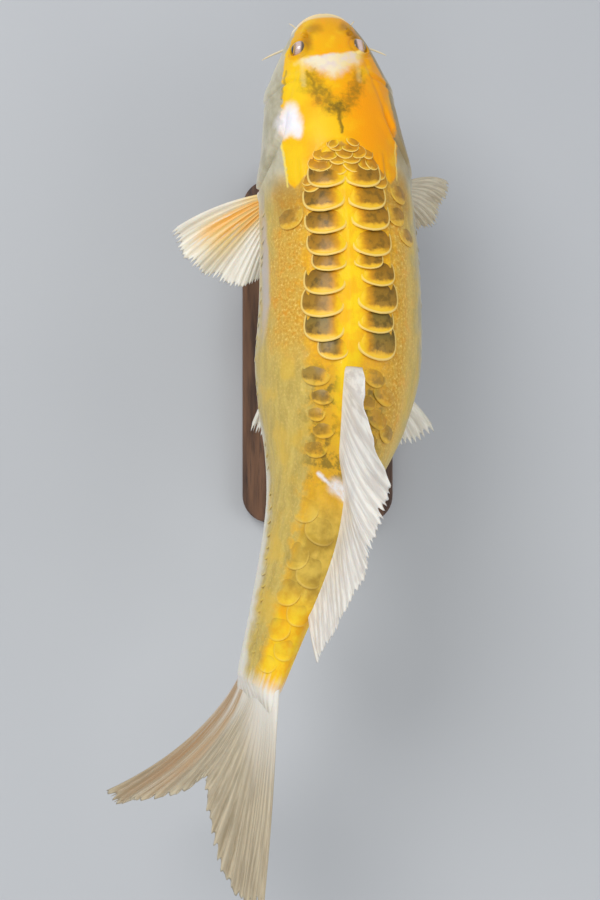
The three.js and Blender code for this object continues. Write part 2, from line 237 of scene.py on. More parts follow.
def wrap(name, columns, rows, place):
    """A closed mesh from a grid. place gives points in mm and maps for each across and down."""
    bm = bmesh.new()
    bmesh.ops.create_grid(bm, x_segments=columns, y_segments=rows, size=0.5)
    mesh = bpy.data.meshes.new(name)
    bm.to_mesh(mesh)
    bm.free()
    flat = np.empty(len(mesh.vertices) * 3, np.float32)
    mesh.vertices.foreach_get("co", flat)
    grid = flat.reshape(rows + 1, columns + 1, 3).astype(float) + 0.5
    points, maps = place(grid[..., 0], grid[..., 1])
    mesh.vertices.foreach_set("co", (points.reshape(-1, 3) * MM).astype(np.float32).ravel())
    fill_maps(mesh, {key: values.reshape(-1, 2) for key, values in maps.items()})
    close(mesh, SHEET_GAP)
    return mesh


def close(mesh, gap):
    """Merges the points that fall together and turns the faces outwards."""
    bm = bmesh.new()
    bm.from_mesh(mesh)
    bmesh.ops.remove_doubles(bm, verts=bm.verts, dist=gap)
    bmesh.ops.dissolve_degenerate(bm, edges=bm.edges, dist=gap / 10)
    bmesh.ops.recalc_face_normals(bm, faces=bm.faces)
    if bm.calc_volume(signed=True) < 0:
        bmesh.ops.reverse_faces(bm, faces=bm.faces)
    loose = sum(1 for edge in bm.edges if not edge.is_manifold)
    bm.to_mesh(mesh)
    bm.free()
    if loose:
        print(mesh.name, "has", loose, "open edges")


# %% [markdown]
# A finished piece is an object at the origin with its place in its mesh. It is shaded smooth, it
# rides on the model's one body, its material says what it is made of, and the carved pieces that
# it stands for are hidden.

# %% A finished piece
def placed_object(name, data):
    """A new object at the origin, linked to the scene."""
    made = bpy.data.objects.new(name, data)
    bpy.context.scene.collection.objects.link(made)
    return made


def finish_piece(name, mesh, material, stands_for=()):
    piece = placed_object(name, mesh)
    mesh.materials.append(material)
    mesh.polygons.foreach_set("use_smooth", np.ones(len(mesh.polygons), bool))
    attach(piece, BODY)
    if stands_for:
        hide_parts(*stands_for)
    triangles = sum(len(face.vertices) - 2 for face in mesh.polygons)
    print(name, triangles, "triangles")


# %% [markdown]
# ## Paint
# The paint is made of nodes, so that it is as sharp close up as from afar. This small class adds
# nodes to a tree and hands back their sockets, which keeps each recipe as short as its sentence.

# %% A brush box for node trees
def shade(red, green, blue):
    """A screen colour from 0 to 255 as the linear colour that a shader wants."""
    def linear(c):
        return c / 12.92 if c <= 0.04045 else ((c + 0.055) / 1.055) ** 2.4
    return (*(linear(c / 255) for c in (red, green, blue)), 1.0)


class Nodes:
    """Adds nodes to one tree. Each call returns the socket that it made."""

    def __init__(self, tree):
        self.tree = tree

    def add(self, kind, sockets=None, out=0, **settings):
        node = self.tree.nodes.new(kind)
        for key, value in settings.items():
            setattr(node, key, value)
        for key, value in (sockets or {}).items():
            if isinstance(value, bpy.types.NodeSocket):
                self.tree.links.new(value, node.inputs[key])
            else:
                node.inputs[key].default_value = value
        return node.outputs[out]

    def uv(self, name):
        """The place on one of the piece's own maps."""
        return self.add("ShaderNodeUVMap", uv_map=name)

    def split(self, vector):
        """The first two numbers of a place."""
        node = self.tree.nodes.new("ShaderNodeSeparateXYZ")
        self.tree.links.new(vector, node.inputs[0])
        return node.outputs[0], node.outputs[1]

    def math(self, operation, *values):
        return self.add("ShaderNodeMath", dict(enumerate(values)), operation=operation)

    def plus(self, first, second):
        return self.math("ADD", first, second)

    def minus(self, first, second):
        return self.math("SUBTRACT", first, second)

    def unsigned(self, value):
        return self.math("ABSOLUTE", value)

    def vector(self, operation, *values, out=0):
        return self.add("ShaderNodeVectorMath", dict(enumerate(values)), out, operation=operation)

    def stretched(self, where, by):
        """A place with each of its three numbers multiplied."""
        return self.vector("MULTIPLY", where, by)

    def smooth(self, value, low, high, to_low=0.0, to_high=1.0):
        sockets = {"Value": value, "From Min": low, "From Max": high}
        sockets |= {"To Min": to_low, "To Max": to_high}
        return self.add("ShaderNodeMapRange", sockets, interpolation_type="SMOOTHSTEP")

    def times(self, *values):
        total = values[0]
        for value in values[1:]:
            total = self.math("MULTIPLY", total, value)
        return total

    def mix(self, factor, first, second):
        sockets = {0: factor, 6: first, 7: second}
        return self.add("ShaderNodeMix", sockets, out=2, data_type="RGBA")

    def noise(self, where, scale, detail=2.0, roughness=0.5, out=0):
        sockets = {"Vector": where, "Scale": scale, "Detail": detail, "Roughness": roughness}
        return self.add("ShaderNodeTexNoise", sockets, out=out)

    def profile(self, value, full, stops):
        """A smooth curve of value through (value, height) stops, with heights up to full."""
        node = self.tree.nodes.new("ShaderNodeValToRGB")
        last = stops[-1][0]
        node.color_ramp.interpolation = "EASE"
        while len(node.color_ramp.elements) < len(stops):
            node.color_ramp.elements.new(1.0)
        for element, (place, height) in zip(node.color_ramp.elements, stops):
            element.position = place / last
            element.color = (height / full,) * 3 + (1.0,)
        self.tree.links.new(self.math("DIVIDE", value, float(last)), node.inputs[0])
        return self.math("MULTIPLY", node.outputs[0], float(full))

    def bump(self, height, strength, depth):
        sockets = {"Height": height, "Strength": strength, "Distance": depth}
        return self.add("ShaderNodeBump", sockets)


# %% [markdown]
# Every material ends in Blender's principled shader, which covers wet skin, horn, wood and metal
# alike. What is the same all over a surface is set on the shader's own sockets, and only what
# changes from place to place comes from nodes.

# %% Starting and ending a material
def new_material(name, preview):
    material = bpy.data.materials.new(name)
    material.use_nodes = True
    material.diffuse_color = preview
    material.node_tree.nodes.clear()
    return material, Nodes(material.node_tree)


def finish_material(nodes, colour, **sockets):
    """Ends a tree in a principled shader. Underscores in the names stand for spaces."""
    named = {key.replace("_", " "): value for key, value in sockets.items()}
    surface = nodes.add("ShaderNodeBsdfPrincipled", {"Base Color": colour, **named})
    output = nodes.tree.nodes.new("ShaderNodeOutputMaterial")
    nodes.tree.links.new(surface, output.inputs["Surface"])


# %% [markdown]
# ## The koi's markings
# A koi of this kind is yellow over a pale fish. The head wears a golden cap with a pale band
# between the eyes, a smoky heart behind it, freckles at the nostrils and a white patch over the
# left gill; the band and the white patch are painted reflections on the wet head. The back is bright
# along the ridge, the flanks are speckled leather, and the cheeks and belly are silver to cream, with
# painted shade in olive on the upper right cheek. A painter would airbrush these in layers from the
# palest up, and the nodes below do the same. They read the tape measure's map, so skin and scales
# get the same paint at the same place.

# %% Colours
SILVER = shade(174, 166, 138)
SHEEN_LAVENDER = shade(196, 188, 190)
STRAW = shade(218, 190, 96)
TAN = shade(228, 184, 76)
RUST = shade(208, 152, 50)
SAND = shade(246, 214, 124)
GOLD = shade(248, 188, 18)
LEMON = shade(253, 210, 26)
ORANGE = shade(255, 162, 0)
OLIVE = shade(126, 100, 22)
FRECKLE = shade(168, 116, 14)
MOSS = shade(126, 114, 66)
GLARE_WHITE = shade(250, 247, 250)

# name, round from the ridge, along from the snout, half the size round and along, colour,
# strength, softness
BLOTCHES = [
    ("deep orange", 26, 76, 19, 24, ORANGE, 0.9, 0.6),
    ("orange behind", 14, 62, 9, 8, ORANGE, 0.5, 0.7),
    ("lemon left", -27, 52, 10, 16, LEMON, 0.8, 0.6),
    ("lemon middle", -9, 82, 12, 9, LEMON, 0.7, 0.6),
    ("lemon horn", -32, 104, 8, 12, LEMON, 0.7, 0.6),
    ("freckle left", -9, 12, 5, 4, FRECKLE, 0.6, 0.7),
    ("freckle by the eye", -14, 21, 3.5, 6, FRECKLE, 0.65, 0.7),
    ("freckle right", 13, 12, 5, 4.5, FRECKLE, 0.75, 0.7),
    ("freckle outside it", 18, 18, 4.5, 6, FRECKLE, 0.85, 0.7),
    # the two blotches round the eyes are painted shade in the sockets
    ("shade round the left eye", -19.5, 25, 7.5, 7, FRECKLE, 0.5, 0.6),
    ("shade round the right eye", 20.5, 25, 7, 8, OLIVE, 0.45, 0.6),
    # the four white blotches over the left gill are a painted reflection on the wet head
    ("white patch", -33, 74, 8, 8, GLARE_WHITE, 1.0, 0.5),
    ("white tail of it", -28, 81, 5, 5.5, GLARE_WHITE, 0.85, 0.5),
    ("white corner of it", -38, 82, 5, 4.5, GLARE_WHITE, 0.6, 0.5),
    ("white nose of it", -31, 67, 5, 5, GLARE_WHITE, 0.6, 0.6),
]
# how far from the ridge the cap and the gold of the back reach, as (along, reach)
CAP_EDGE = {
    "left": [(0, 15), (14, 25), (27, 33), (40, 36), (86, 41), (130, 37)],
    "right": [(0, 13), (14, 22), (27, 31), (53, 46), (86, 44), (130, 38)],
}
BACK_GOLD = [(0, 10), (92, 14), (110, 24), (190, 27), (240, 21), (433, 12)]
WIDEST_PROFILE = 60
# the heart is soft smoke, as blotches and two strokes between places round and along
HEART = [
    ("left lobe", -15, 51, 7.5, 8, 0.55), ("left arm", -9, 60, 6, 6.5, 0.7),
    ("right lobe", 15.5, 51, 5.5, 8, 0.6), ("right arm", 11, 61, 5, 7, 0.7),
    ("point", 0, 69, 8, 5.5, 0.95),
]
HEART_STEM = [((0, 70), (1.5, 86), 2.0, 0.85), ((-17, 43), (-12, 56), 1.8, 0.5)]
print(len(BLOTCHES), "blotches on the cap and", len(HEART), "in the heart")


# %% [markdown]
# Four strokes of the brush make all the layers. The tape measure reads the place from a map,
# wobbled shakes it by noise so that an edge comes out ragged, a blotch is a soft oval, and a
# stroke is a soft line. nodes.smooth(value, low, high) fades from 0 at low to 1 at high, in
# millimetres where the value is a place. With the larger number first it fades the other way.

# %% Brushes for the markings
def tape_measure(nodes):
    """The place on the skin in mm: as one vector, then round and along."""
    where = nodes.stretched(nodes.uv("Body"), (100, 100, 0))
    return (where, *nodes.split(where))


def wobbled(nodes, where, scale, reach, start=None):
    """The place, or a start on another map, pushed about by noise for ragged edges."""
    noise = nodes.noise(where, scale, out=1)
    push = nodes.vector("SUBTRACT", noise, (0.5, 0.5, 0.5))
    scaled = nodes.stretched(push, (2 * reach, 2 * reach, 0))
    return nodes.vector("ADD", where if start is None else start, scaled)


def blotch(nodes, where, around, along, half_around, half_along, soft):
    offset = nodes.vector("SUBTRACT", where, (around, along, 0))
    shrunk = nodes.vector("DIVIDE", offset, (half_around, half_along, 1))
    far = nodes.vector("LENGTH", shrunk, out=1)
    return nodes.smooth(far, 1 + soft, 1 - soft)


def stroke(nodes, where, start, end, width):
    """1 near the line from start to end, and 0 further off than its width."""
    run = (end[0] - start[0], end[1] - start[1], 0.0)
    offset = nodes.vector("SUBTRACT", where, (*start, 0))
    dot = nodes.vector("DOT_PRODUCT", offset, run, out=1)
    share = nodes.add("ShaderNodeClamp", {0: nodes.math("DIVIDE", dot, run[0] ** 2 + run[1] ** 2)})
    scaled = nodes.tree.nodes.new("ShaderNodeVectorMath")
    scaled.operation = "SCALE"
    scaled.inputs[0].default_value = run
    nodes.tree.links.new(share, scaled.inputs["Scale"])
    far = nodes.vector("LENGTH", nodes.vector("SUBTRACT", offset, scaled.outputs[0]), out=1)
    return nodes.smooth(far, width, 0.1 * width)


# %% [markdown]
# The lowest layers come first: cream under the belly, silver on the sides with painted shade in
# olive on the upper right cheek, then streaky straw and speckled leather. Each ends in a mask that
# is pushed about by clouds of noise.
# wide is 0 at the ridge, about 0.5 at the widest line and 1 under the belly.

# %% Flanks, cheeks and belly
def paint_flanks(nodes, where, around, along, wide):
    """Cream below, silver cheeks, speckled leather on the flanks and gold on the back."""
    speckle = nodes.noise(where, 0.5, 4, 0.7)
    patch = nodes.noise(where, 0.13, 3, 0.6)
    cloud = nodes.noise(where, 0.06, 3, 0.6)
    streak_map = nodes.stretched(wobbled(nodes, where, 0.04, 9), (0.16, 0.035, 1))
    streak = nodes.noise(streak_map, 1.0, 4, 0.65)
    leather = nodes.mix(nodes.smooth(speckle, 0.38, 0.62), RUST, TAN)
    leather = nodes.mix(nodes.smooth(patch, 0.5, 0.66, 0.0, 0.7), leather, shade(216, 176, 78))
    leather = nodes.mix(nodes.smooth(patch, 0.48, 0.34, 0.0, 0.6), leather, shade(232, 160, 40))
    leather = nodes.mix(nodes.smooth(speckle, 0.55, 0.68, 0.0, 0.9), leather, SAND)
    straw = nodes.mix(nodes.smooth(streak, 0.3, 0.72), shade(192, 164, 78), STRAW)
    straw = nodes.mix(nodes.smooth(speckle, 0.45, 0.75, 0.0, 0.45), straw, SAND)
    sunny = nodes.smooth(nodes.noise(where, 0.035, 2), 0.5, 0.66, 0.0, 0.6)
    straw = nodes.mix(sunny, straw, shade(232, 190, 66))
    silver = nodes.mix(nodes.smooth(cloud, 0.35, 0.65), SILVER, shade(200, 193, 168))
    # painted shade: the upper right cheek is darkened to olive
    upper_right = nodes.times(nodes.smooth(around, 0, 20), nodes.smooth(along, 118, 92))
    painted_cheek_shade = nodes.times(upper_right, nodes.smooth(wide, 0.5, 0.34, 0.0, 0.85))
    silver = nodes.mix(painted_cheek_shade, silver, shade(158, 134, 86))
    distance = nodes.unsigned(around)
    left = nodes.smooth(around, 4, -4)
    behind = nodes.smooth(along, 205, 240)
    colour = nodes.mix(nodes.smooth(wide, 0.6, 0.36), shade(240, 234, 216), silver)
    on_trunk = nodes.smooth(along, 100, 130)
    low = nodes.plus(nodes.times(left, 0.09), nodes.times(behind, 0.06))
    edge = nodes.plus(low, nodes.smooth(cloud, 0.3, 0.7, 0.32, 0.40))
    straw_mask = nodes.smooth(wide, nodes.plus(edge, 0.07), nodes.minus(edge, 0.07))
    colour = nodes.mix(nodes.times(straw_mask, on_trunk, 0.95), colour, straw)
    reach = nodes.smooth(cloud, 0.3, 0.7, 44, 56)
    middle = nodes.times(nodes.smooth(along, 136, 150), nodes.smooth(along, 236, 206), left)
    reach = nodes.plus(reach, nodes.times(middle, 13))
    leather_mask = nodes.smooth(distance, nodes.plus(reach, 10.0), nodes.minus(reach, 12.0))
    to_rear = nodes.smooth(left, 0.4, 0.6, 296, 242)
    fade = nodes.smooth(nodes.minus(along, to_rear), 0, -40)
    pale = nodes.times(nodes.smooth(around, 36, 50), nodes.smooth(along, 130, 160), 0.35)
    leather = nodes.mix(pale, leather, SAND)
    colour = nodes.mix(nodes.times(leather_mask, on_trunk, fade), colour, leather)
    shoulder = nodes.times(nodes.smooth(along, 106, 116), nodes.smooth(along, 146, 128))
    shoulder = nodes.times(shoulder, nodes.smooth(distance, 60, 48), 0.5)
    colour = nodes.mix(shoulder, colour, shade(168, 124, 48))
    return colour, speckle


# %% [markdown]
# Along the ridge the gold is brightest. It is darker and mossy beside the back fin and behind the
# nape, and turns to clean yellow on the wrist of the tail.

# %% Back and wrist
def paint_back(nodes, colour, where, around, along, speckle):
    """The bright ridge, the gold beside the back fin and the yellow wrist of the tail."""
    distance = nodes.unsigned(around)
    width = nodes.profile(along, WIDEST_PROFILE, BACK_GOLD)
    edge = nodes.plus(width, nodes.smooth(nodes.noise(where, 0.15, 3), 0.3, 0.7, 3, 16))
    near_ridge = nodes.smooth(distance, edge, nodes.minus(width, 5.0))
    on_back = nodes.times(near_ridge, nodes.smooth(along, 84, 96))
    gold = nodes.mix(nodes.smooth(speckle, 0.35, 0.7), shade(236, 172, 34), GOLD)
    moss = nodes.smooth(nodes.noise(where, 0.13, 4, 0.65), 0.46, 0.6)
    beside_fin = nodes.times(nodes.smooth(along, 222, 240), nodes.smooth(along, 312, 290))
    gold = nodes.mix(nodes.times(beside_fin, 0.5), gold, shade(206, 164, 58))
    gold = nodes.mix(nodes.times(moss, beside_fin, 0.8), gold, shade(124, 104, 40))
    arch = nodes.minus(along, nodes.times(distance, distance, 0.03))
    under_nape = nodes.times(nodes.smooth(arch, 88, 92), nodes.smooth(along, 122, 114))
    under_nape = nodes.times(under_nape, nodes.smooth(distance, 27, 23))
    gold = nodes.mix(nodes.times(under_nape, 0.75), gold, shade(176, 128, 34))
    colour = nodes.mix(on_back, colour, gold)
    ridge = nodes.times(nodes.smooth(distance, 12, 3), nodes.smooth(along, 98, 112))
    bright = nodes.mix(nodes.smooth(nodes.noise(where, 0.09, 3), 0.4, 0.6), shade(250, 190, 26), LEMON)
    colour = nodes.mix(nodes.times(ridge, nodes.smooth(along, 300, 230)), colour, bright)
    wrist = nodes.times(nodes.smooth(along, 292, 330), nodes.smooth(along, 440, 424))
    reach = nodes.smooth(around, -20, -12)
    under = nodes.smooth(around, 40, 26)
    cloud = nodes.smooth(nodes.noise(where, 0.07, 4, 0.6), 0.35, 0.65)
    front = nodes.mix(cloud, shade(186, 150, 56), shade(230, 194, 84))
    fleck = nodes.mix(cloud, shade(246, 178, 22), shade(255, 212, 40))
    fleck = nodes.mix(nodes.smooth(along, 362, 386), front, fleck)
    return nodes.mix(nodes.times(wrist, reach, under), colour, fleck)


# %% [markdown]
# The cap is a mask with its own edge on each side and two horns behind. Its gold is dappled
# first, then the blotches, the pale band between the eyes and the smoky heart go on top. The band
# and the white blotches over the left gill are painted reflections on the wet head, and the blotches
# round the eyes are painted shade. Lips and the slit between them have a map of their own, which
# the skin fills when it is shaped, and the slit is darkened with painted shade.

# %% Cap of the head
def cap_mask(nodes, where, around, along, distance):
    """1 on the cap and 0 off it."""
    left_edge = nodes.profile(along, WIDEST_PROFILE, CAP_EDGE["left"])
    right_edge = nodes.profile(along, WIDEST_PROFILE, CAP_EDGE["right"])
    is_right = nodes.math("GREATER_THAN", around, 0.0)
    edges = nodes.add("ShaderNodeMix", {0: is_right, 2: left_edge, 3: right_edge})
    edges = nodes.plus(edges, nodes.smooth(nodes.noise(where, 0.25, 3), 0.3, 0.7, -1.2, 1.2))
    side = nodes.smooth(nodes.minus(distance, edges), 1.1, -1.1)
    from_horn = nodes.unsigned(nodes.minus(distance, 33.0))
    horn = nodes.plus(along, nodes.times(from_horn, 0.8))
    return nodes.times(side, nodes.smooth(horn, 120, 117), nodes.smooth(along, 2.6, 4.8))


def cap_gold(nodes, where, rough, around, along):
    """Gold that is deeper on the right and at the snout, dappled and blotched."""
    gold = nodes.mix(nodes.smooth(around, -25, 22), shade(250, 190, 8), shade(246, 168, 2))
    gold = nodes.mix(nodes.smooth(along, 22, 10, 0.0, 0.6), gold, shade(232, 164, 6))
    patches = nodes.noise(where, 0.07, 3)
    gold = nodes.mix(nodes.smooth(patches, 0.5, 0.66, 0.0, 0.5), gold, LEMON)
    gold = nodes.mix(nodes.smooth(patches, 0.48, 0.34, 0.0, 0.45), gold, ORANGE)
    for _, around_at, along_at, half_around, half_along, paint, strength, soft in BLOTCHES:
        mask = blotch(nodes, rough, around_at, along_at, half_around, half_along, soft)
        gold = nodes.mix(nodes.times(mask, strength), gold, paint)
    return gold


def painted_reflection_band(nodes, gold, where, around, along, distance):
    """A painted reflection between the eyes: a straight front edge, and a rear edge that comes to a point.
    """
    slope = nodes.plus(along, nodes.times(around, 0.09))
    slope = nodes.plus(slope, nodes.smooth(nodes.noise(where, 0.2, 3), 0.3, 0.7, -0.6, 0.6))
    front = nodes.smooth(slope, 31.0, 33.4)
    slant = nodes.plus(along, nodes.times(distance, 0.62))
    slant = nodes.plus(slant, nodes.times(nodes.noise(where, 0.3, 3), 6.0))
    band = nodes.times(front, nodes.smooth(slant, 57, 47), nodes.smooth(distance, 25, 17))
    pale = nodes.mix(nodes.smooth(around, -6, 18), shade(244, 234, 206), shade(242, 216, 138))
    reflection_tint = nodes.smooth(nodes.noise(where, 0.12), 0.42, 0.62, 0.0, 0.75)
    pale = nodes.mix(reflection_tint, pale, shade(230, 216, 216))
    return nodes.mix(nodes.times(band, 0.92), gold, pale)


def smoky_heart(nodes, gold, where, rough, ragged):
    smoke = nodes.smooth(nodes.noise(where, 0.3, 4, 0.6), 0.3, 0.62, 0.4, 1.0)
    for _, around_at, along_at, half_around, half_along, strength in HEART:
        mask = blotch(nodes, ragged, around_at, along_at, half_around, half_along, 0.6)
        gold = nodes.mix(nodes.times(mask, strength, smoke), gold, OLIVE)
    for start, end, width, strength in HEART_STEM:
        mask = nodes.times(stroke(nodes, rough, start, end, width), strength)
        gold = nodes.mix(mask, gold, OLIVE)
    return gold


def paint_cap(nodes, colour, where, around, along):
    """The golden cap with its heart and freckles; its band and white patch are painted reflections."""
    distance = nodes.unsigned(around)
    cap = cap_mask(nodes, where, around, along, distance)
    rough = wobbled(nodes, where, 0.16, 2.6)
    ragged = wobbled(nodes, wobbled(nodes, where, 0.13, 5.0), 0.5, 2.6)
    gold = cap_gold(nodes, where, rough, around, along)
    gold = painted_reflection_band(nodes, gold, where, around, along, distance)
    gold = smoky_heart(nodes, gold, where, rough, ragged)
    front = nodes.times(nodes.smooth(along, 7, 3), nodes.smooth(distance, 26, 14))
    colour = nodes.mix(nodes.times(front, 0.8), colour, shade(250, 222, 158))
    colour = nodes.mix(cap, colour, gold)
    # painted reflection: a pale lavender-white glare beside the white patch
    glow = blotch(nodes, ragged, -38, 75, 7, 8, 0.6)
    colour = nodes.mix(nodes.times(glow, 0.6), colour, shade(234, 230, 236))
    lips, slit = nodes.split(nodes.uv("Mouth"))
    colour = nodes.mix(nodes.times(lips, 0.8), colour, shade(246, 220, 174))
    # painted shade: the slit of the mouth is darkened
    return nodes.mix(nodes.times(slit, 0.85), colour, shade(132, 84, 60))


# %% [markdown]
# Fine lines and marks come last: the dark and cream edges of the cap, a white streak beside the
# back fin, and a painted lavender highlight of wet skin low on the left flank.

# %% Lines, a fold and a sheen
# start and end as round and along, width, strength and colour
LINES = [
    ((46, 50), (46, 66), 2.2, 0.55, MOSS),
    ((45, 68), (43, 88), 1.8, 0.45, RUST),
    ((42.5, 88), (40, 115), 1.2, 0.7, shade(255, 226, 120)),
    ((-41, 86), (-38.5, 116), 1.5, 0.7, shade(255, 232, 120)),
    ((-32.5, 40), (-38.5, 58), 1.6, 0.5, MOSS),
    # the four pale cream strokes below edge the band between the eyes and are part of its painted
    # reflection
    ((-25, 36.5), (-15, 33.5), 2.4, 0.4, shade(252, 226, 140)),
    ((15, 31), (25, 30.5), 1.5, 0.7, shade(252, 226, 140)),
    ((-19.5, 37), (-20, 52), 3.0, 0.3, shade(252, 230, 160)),
    ((17, 38), (16.5, 51), 3.0, 0.25, shade(252, 230, 160)),
]


def paint_lines(nodes, colour, where):
    rough = wobbled(nodes, where, 0.3, 1.0)
    for start, end, width, strength, paint in LINES:
        colour = nodes.mix(nodes.times(stroke(nodes, rough, start, end, width), strength), colour, paint)
    # a white streak painted on the skin beside the back fin
    fold = nodes.math(
        "MAXIMUM",
        stroke(nodes, rough, (-13, 296), (9, 309), 2.2),
        stroke(nodes, rough, (-1, 301), (10, 304), 7.5),
    )
    fold = nodes.times(fold, nodes.smooth(nodes.noise(where, 0.5, 3), 0.3, 0.6, 0.7, 1.0))
    colour = nodes.mix(fold, colour, shade(240, 234, 232))
    # painted highlight: a lavender sheen of wet skin low on the left flank
    painted_sheen = blotch(nodes, wobbled(nodes, where, 0.05, 5), -72, 165, 7, 42, 0.5)
    return nodes.mix(nodes.times(painted_sheen, 0.75), colour, SHEEN_LAVENDER)


# %% [markdown]
# The tail end of the skin turns white, and then takes the streaks of the fin that it runs out
# onto, so that the join doesn't show. The layers are joined in a node group, which the skin and
# the scales both use.

# %% The layers as a node group
def paint_tail_end(nodes, colour, where, along, along_soft):
    streaks = nodes.noise(nodes.stretched(where, (0.5, 0.03, 1)), 1.0, 3)
    end_of_paint = nodes.plus(along_soft, nodes.times(streaks, 16))
    colour = nodes.mix(nodes.smooth(end_of_paint, 430, 446), colour, shade(238, 232, 220))
    # the streaks copy the fin's dark ray lines and painted fold shade onto the end of the skin
    rays = nodes.times(nodes.smooth(along, 434, 449), nodes.smooth(streaks, 0.58, 0.42))
    colour = nodes.mix(nodes.times(rays, 0.75), colour, shade(184, 172, 146))
    return nodes.mix(nodes.smooth(along, 438, 450, 0.0, 0.45), colour, shade(206, 195, 170))


def make_markings():
    group = bpy.data.node_groups.new("Koi markings", "ShaderNodeTree")
    group.interface.new_socket("Colour", in_out="OUTPUT", socket_type="NodeSocketColor")
    nodes = Nodes(group)
    where, around, along = tape_measure(nodes)
    turned, _ = nodes.split(nodes.uv("Round"))
    wide = nodes.unsigned(turned)
    around_soft, along_soft = nodes.split(wobbled(nodes, where, 0.06, 4))
    colour, speckle = paint_flanks(nodes, where, around_soft, along_soft, wide)
    colour = paint_back(nodes, colour, where, around_soft, along_soft, speckle)
    colour = paint_cap(nodes, colour, where, around, along)
    colour = paint_lines(nodes, colour, where)
    colour = paint_tail_end(nodes, colour, where, along, along_soft)
    end = group.nodes.new("NodeGroupOutput")
    group.links.new(colour, end.inputs[0])
    return group


MARKINGS = make_markings()
print("markings:", len(MARKINGS.nodes), "nodes")


# %% [markdown]
# ## Wet skin
# A live koi has a film of slime over leathery skin, so a varnish coat lies over a softer
# base that lets a little light in. Fine grain and shallow wrinkles come from bump, and
# everything that changes the outline is modelled.

# %% The skin's material
def skin_material():
    material, nodes = new_material("Koi skin", shade(240, 185, 40))
    where, _, along = tape_measure(nodes)
    paint = nodes.add("ShaderNodeGroup", node_tree=MARKINGS)
    grain = nodes.noise(where, 1.3, 3, 0.6)
    wrinkles = nodes.noise(nodes.stretched(where, (0.3, 0.12, 1)), 1.0, 4, 0.6)
    on_body = nodes.smooth(along, 90, 125, 0.25, 1.0)
    height = nodes.plus(nodes.times(grain, 0.35), nodes.times(wrinkles, on_body))
    finish_material(
        nodes,
        paint,
        Roughness=nodes.smooth(grain, 0.3, 0.7, 0.3, 0.45),
        Normal=nodes.bump(height, 0.45, 0.0009),
        Subsurface_Weight=0.15,
        Subsurface_Radius=(1.0, 0.5, 0.2),
        Subsurface_Scale=0.003,
        Specular_IOR_Level=0.16,
        Coat_Weight=0.1,
        Coat_Roughness=0.14,
    )
    return material


SKIN = skin_material()

# %% [markdown]
# ## The skin
# Real skin runs over the skull, gill covers and flesh without a seam, so one sheet is wrapped
# round the whole body and closed at the snout, under the belly and at the tail. Its squares crowd
# together at the head, which has the most to show. Relief is then raised and sunk along the
# normal: lips and the slit of the mouth, nostrils, sockets, the folds of the cheek, the free edge
# of the gill cover, the lateral line and the fleshy roots of the fins. The skin lies under the
# carved body by the depth of its coat of scales.

# %% Landmarks
# along is millimetres from the snout, turn is degrees round from the ridge, up is over the
# spine, and the eye's round and down are the squares of its sheet
COAT = 0.8
EYE = {"along": 26.5, "turn": 41, "sunk": 4.0, "radius": 6.0, "round": 56, "down": 40}
NOSTRIL = {"along": 15, "turn": 34}
GILL = {"along": 78, "up": -11, "half_length": 31, "half_height": 33}
MOUTH = {"lip": -17, "corner": 15, "drop": 8.5}
VENT = {"along": 337}
DORSAL = {"from": 230, "to": 380}
TAIL_ROOT = 424
FIN_ROOTS = [(109, 112, 121, 133), (222, 146, 228, 161)]


# %% [markdown]
# Relief is written with three small tools. A ridge is a rounded bump, or a groove when it is
# taken away. Each use gives its height, how far away its middle is, and its width, all in
# millimetres. The others say how far a place is from a line of points, and bend such a line.
# The back fin leaves the ridge of the back towards its rear, as it does in a fish that turns, so
# its root has a line of its own.

# %% Ridges and lines
def ridge(distance, width):
    """A rounded ridge of height 1, which fades over the width."""
    return np.exp(-((distance / width) ** 2))


def fin_line(along):
    """How far round from the ridge the root of the back fin runs, as the fish turns."""
    share = (along - DORSAL["from"]) / (DORSAL["to"] - DORSAL["from"])
    return curve_through([0, 0.3, 0.5, 0.7, 1], [-3, -1, 8, 11, 7])(share)


def line_distance(x, y, points):
    """How far each place is from a line through the points."""
    best = np.full(np.shape(x), 1e9)
    for (ax, ay), (bx, by) in zip(points, points[1:]):
        run = (bx - ax) ** 2 + (by - ay) ** 2
        share = np.clip(((x - ax) * (bx - ax) + (y - ay) * (by - ay)) / run, 0, 1)
        best = np.minimum(best, np.hypot(x - ax - share * (bx - ax), y - ay - share * (by - ay)))
    return best


def smooth_line(points):
    """Extra points between the given ones, so that a fold bends instead of turning corners."""
    places = np.arange(len(points))
    at = np.linspace(0, len(points) - 1, 7 * len(points))
    return list(zip(*(curve_through(places, [p[i] for p in points])(at) for i in (0, 1))))


# %% [markdown]
# A carp's mouth is low on the snout, with fleshy lips and folds round them that unfold when it
# feeds. Its slit runs back and down to the corners. Each nostril is a pair of holes with a flap
# between, and the eye has a ring of skin and no lids. The mouth also fills a map, which tells the
# paint where the lips and the slit are.

# %% Relief of the mouth, nostrils and eyes
def over_the_slit(along, up):
    """How far above the slit of the mouth a place is, and 1 in front of the mouth's corners."""
    line = MOUTH["lip"] - MOUTH["drop"] * (along / MOUTH["corner"]) ** 1.3
    return up - line, 1 - step(along, MOUTH["corner"] - 3, MOUTH["corner"] + 1)


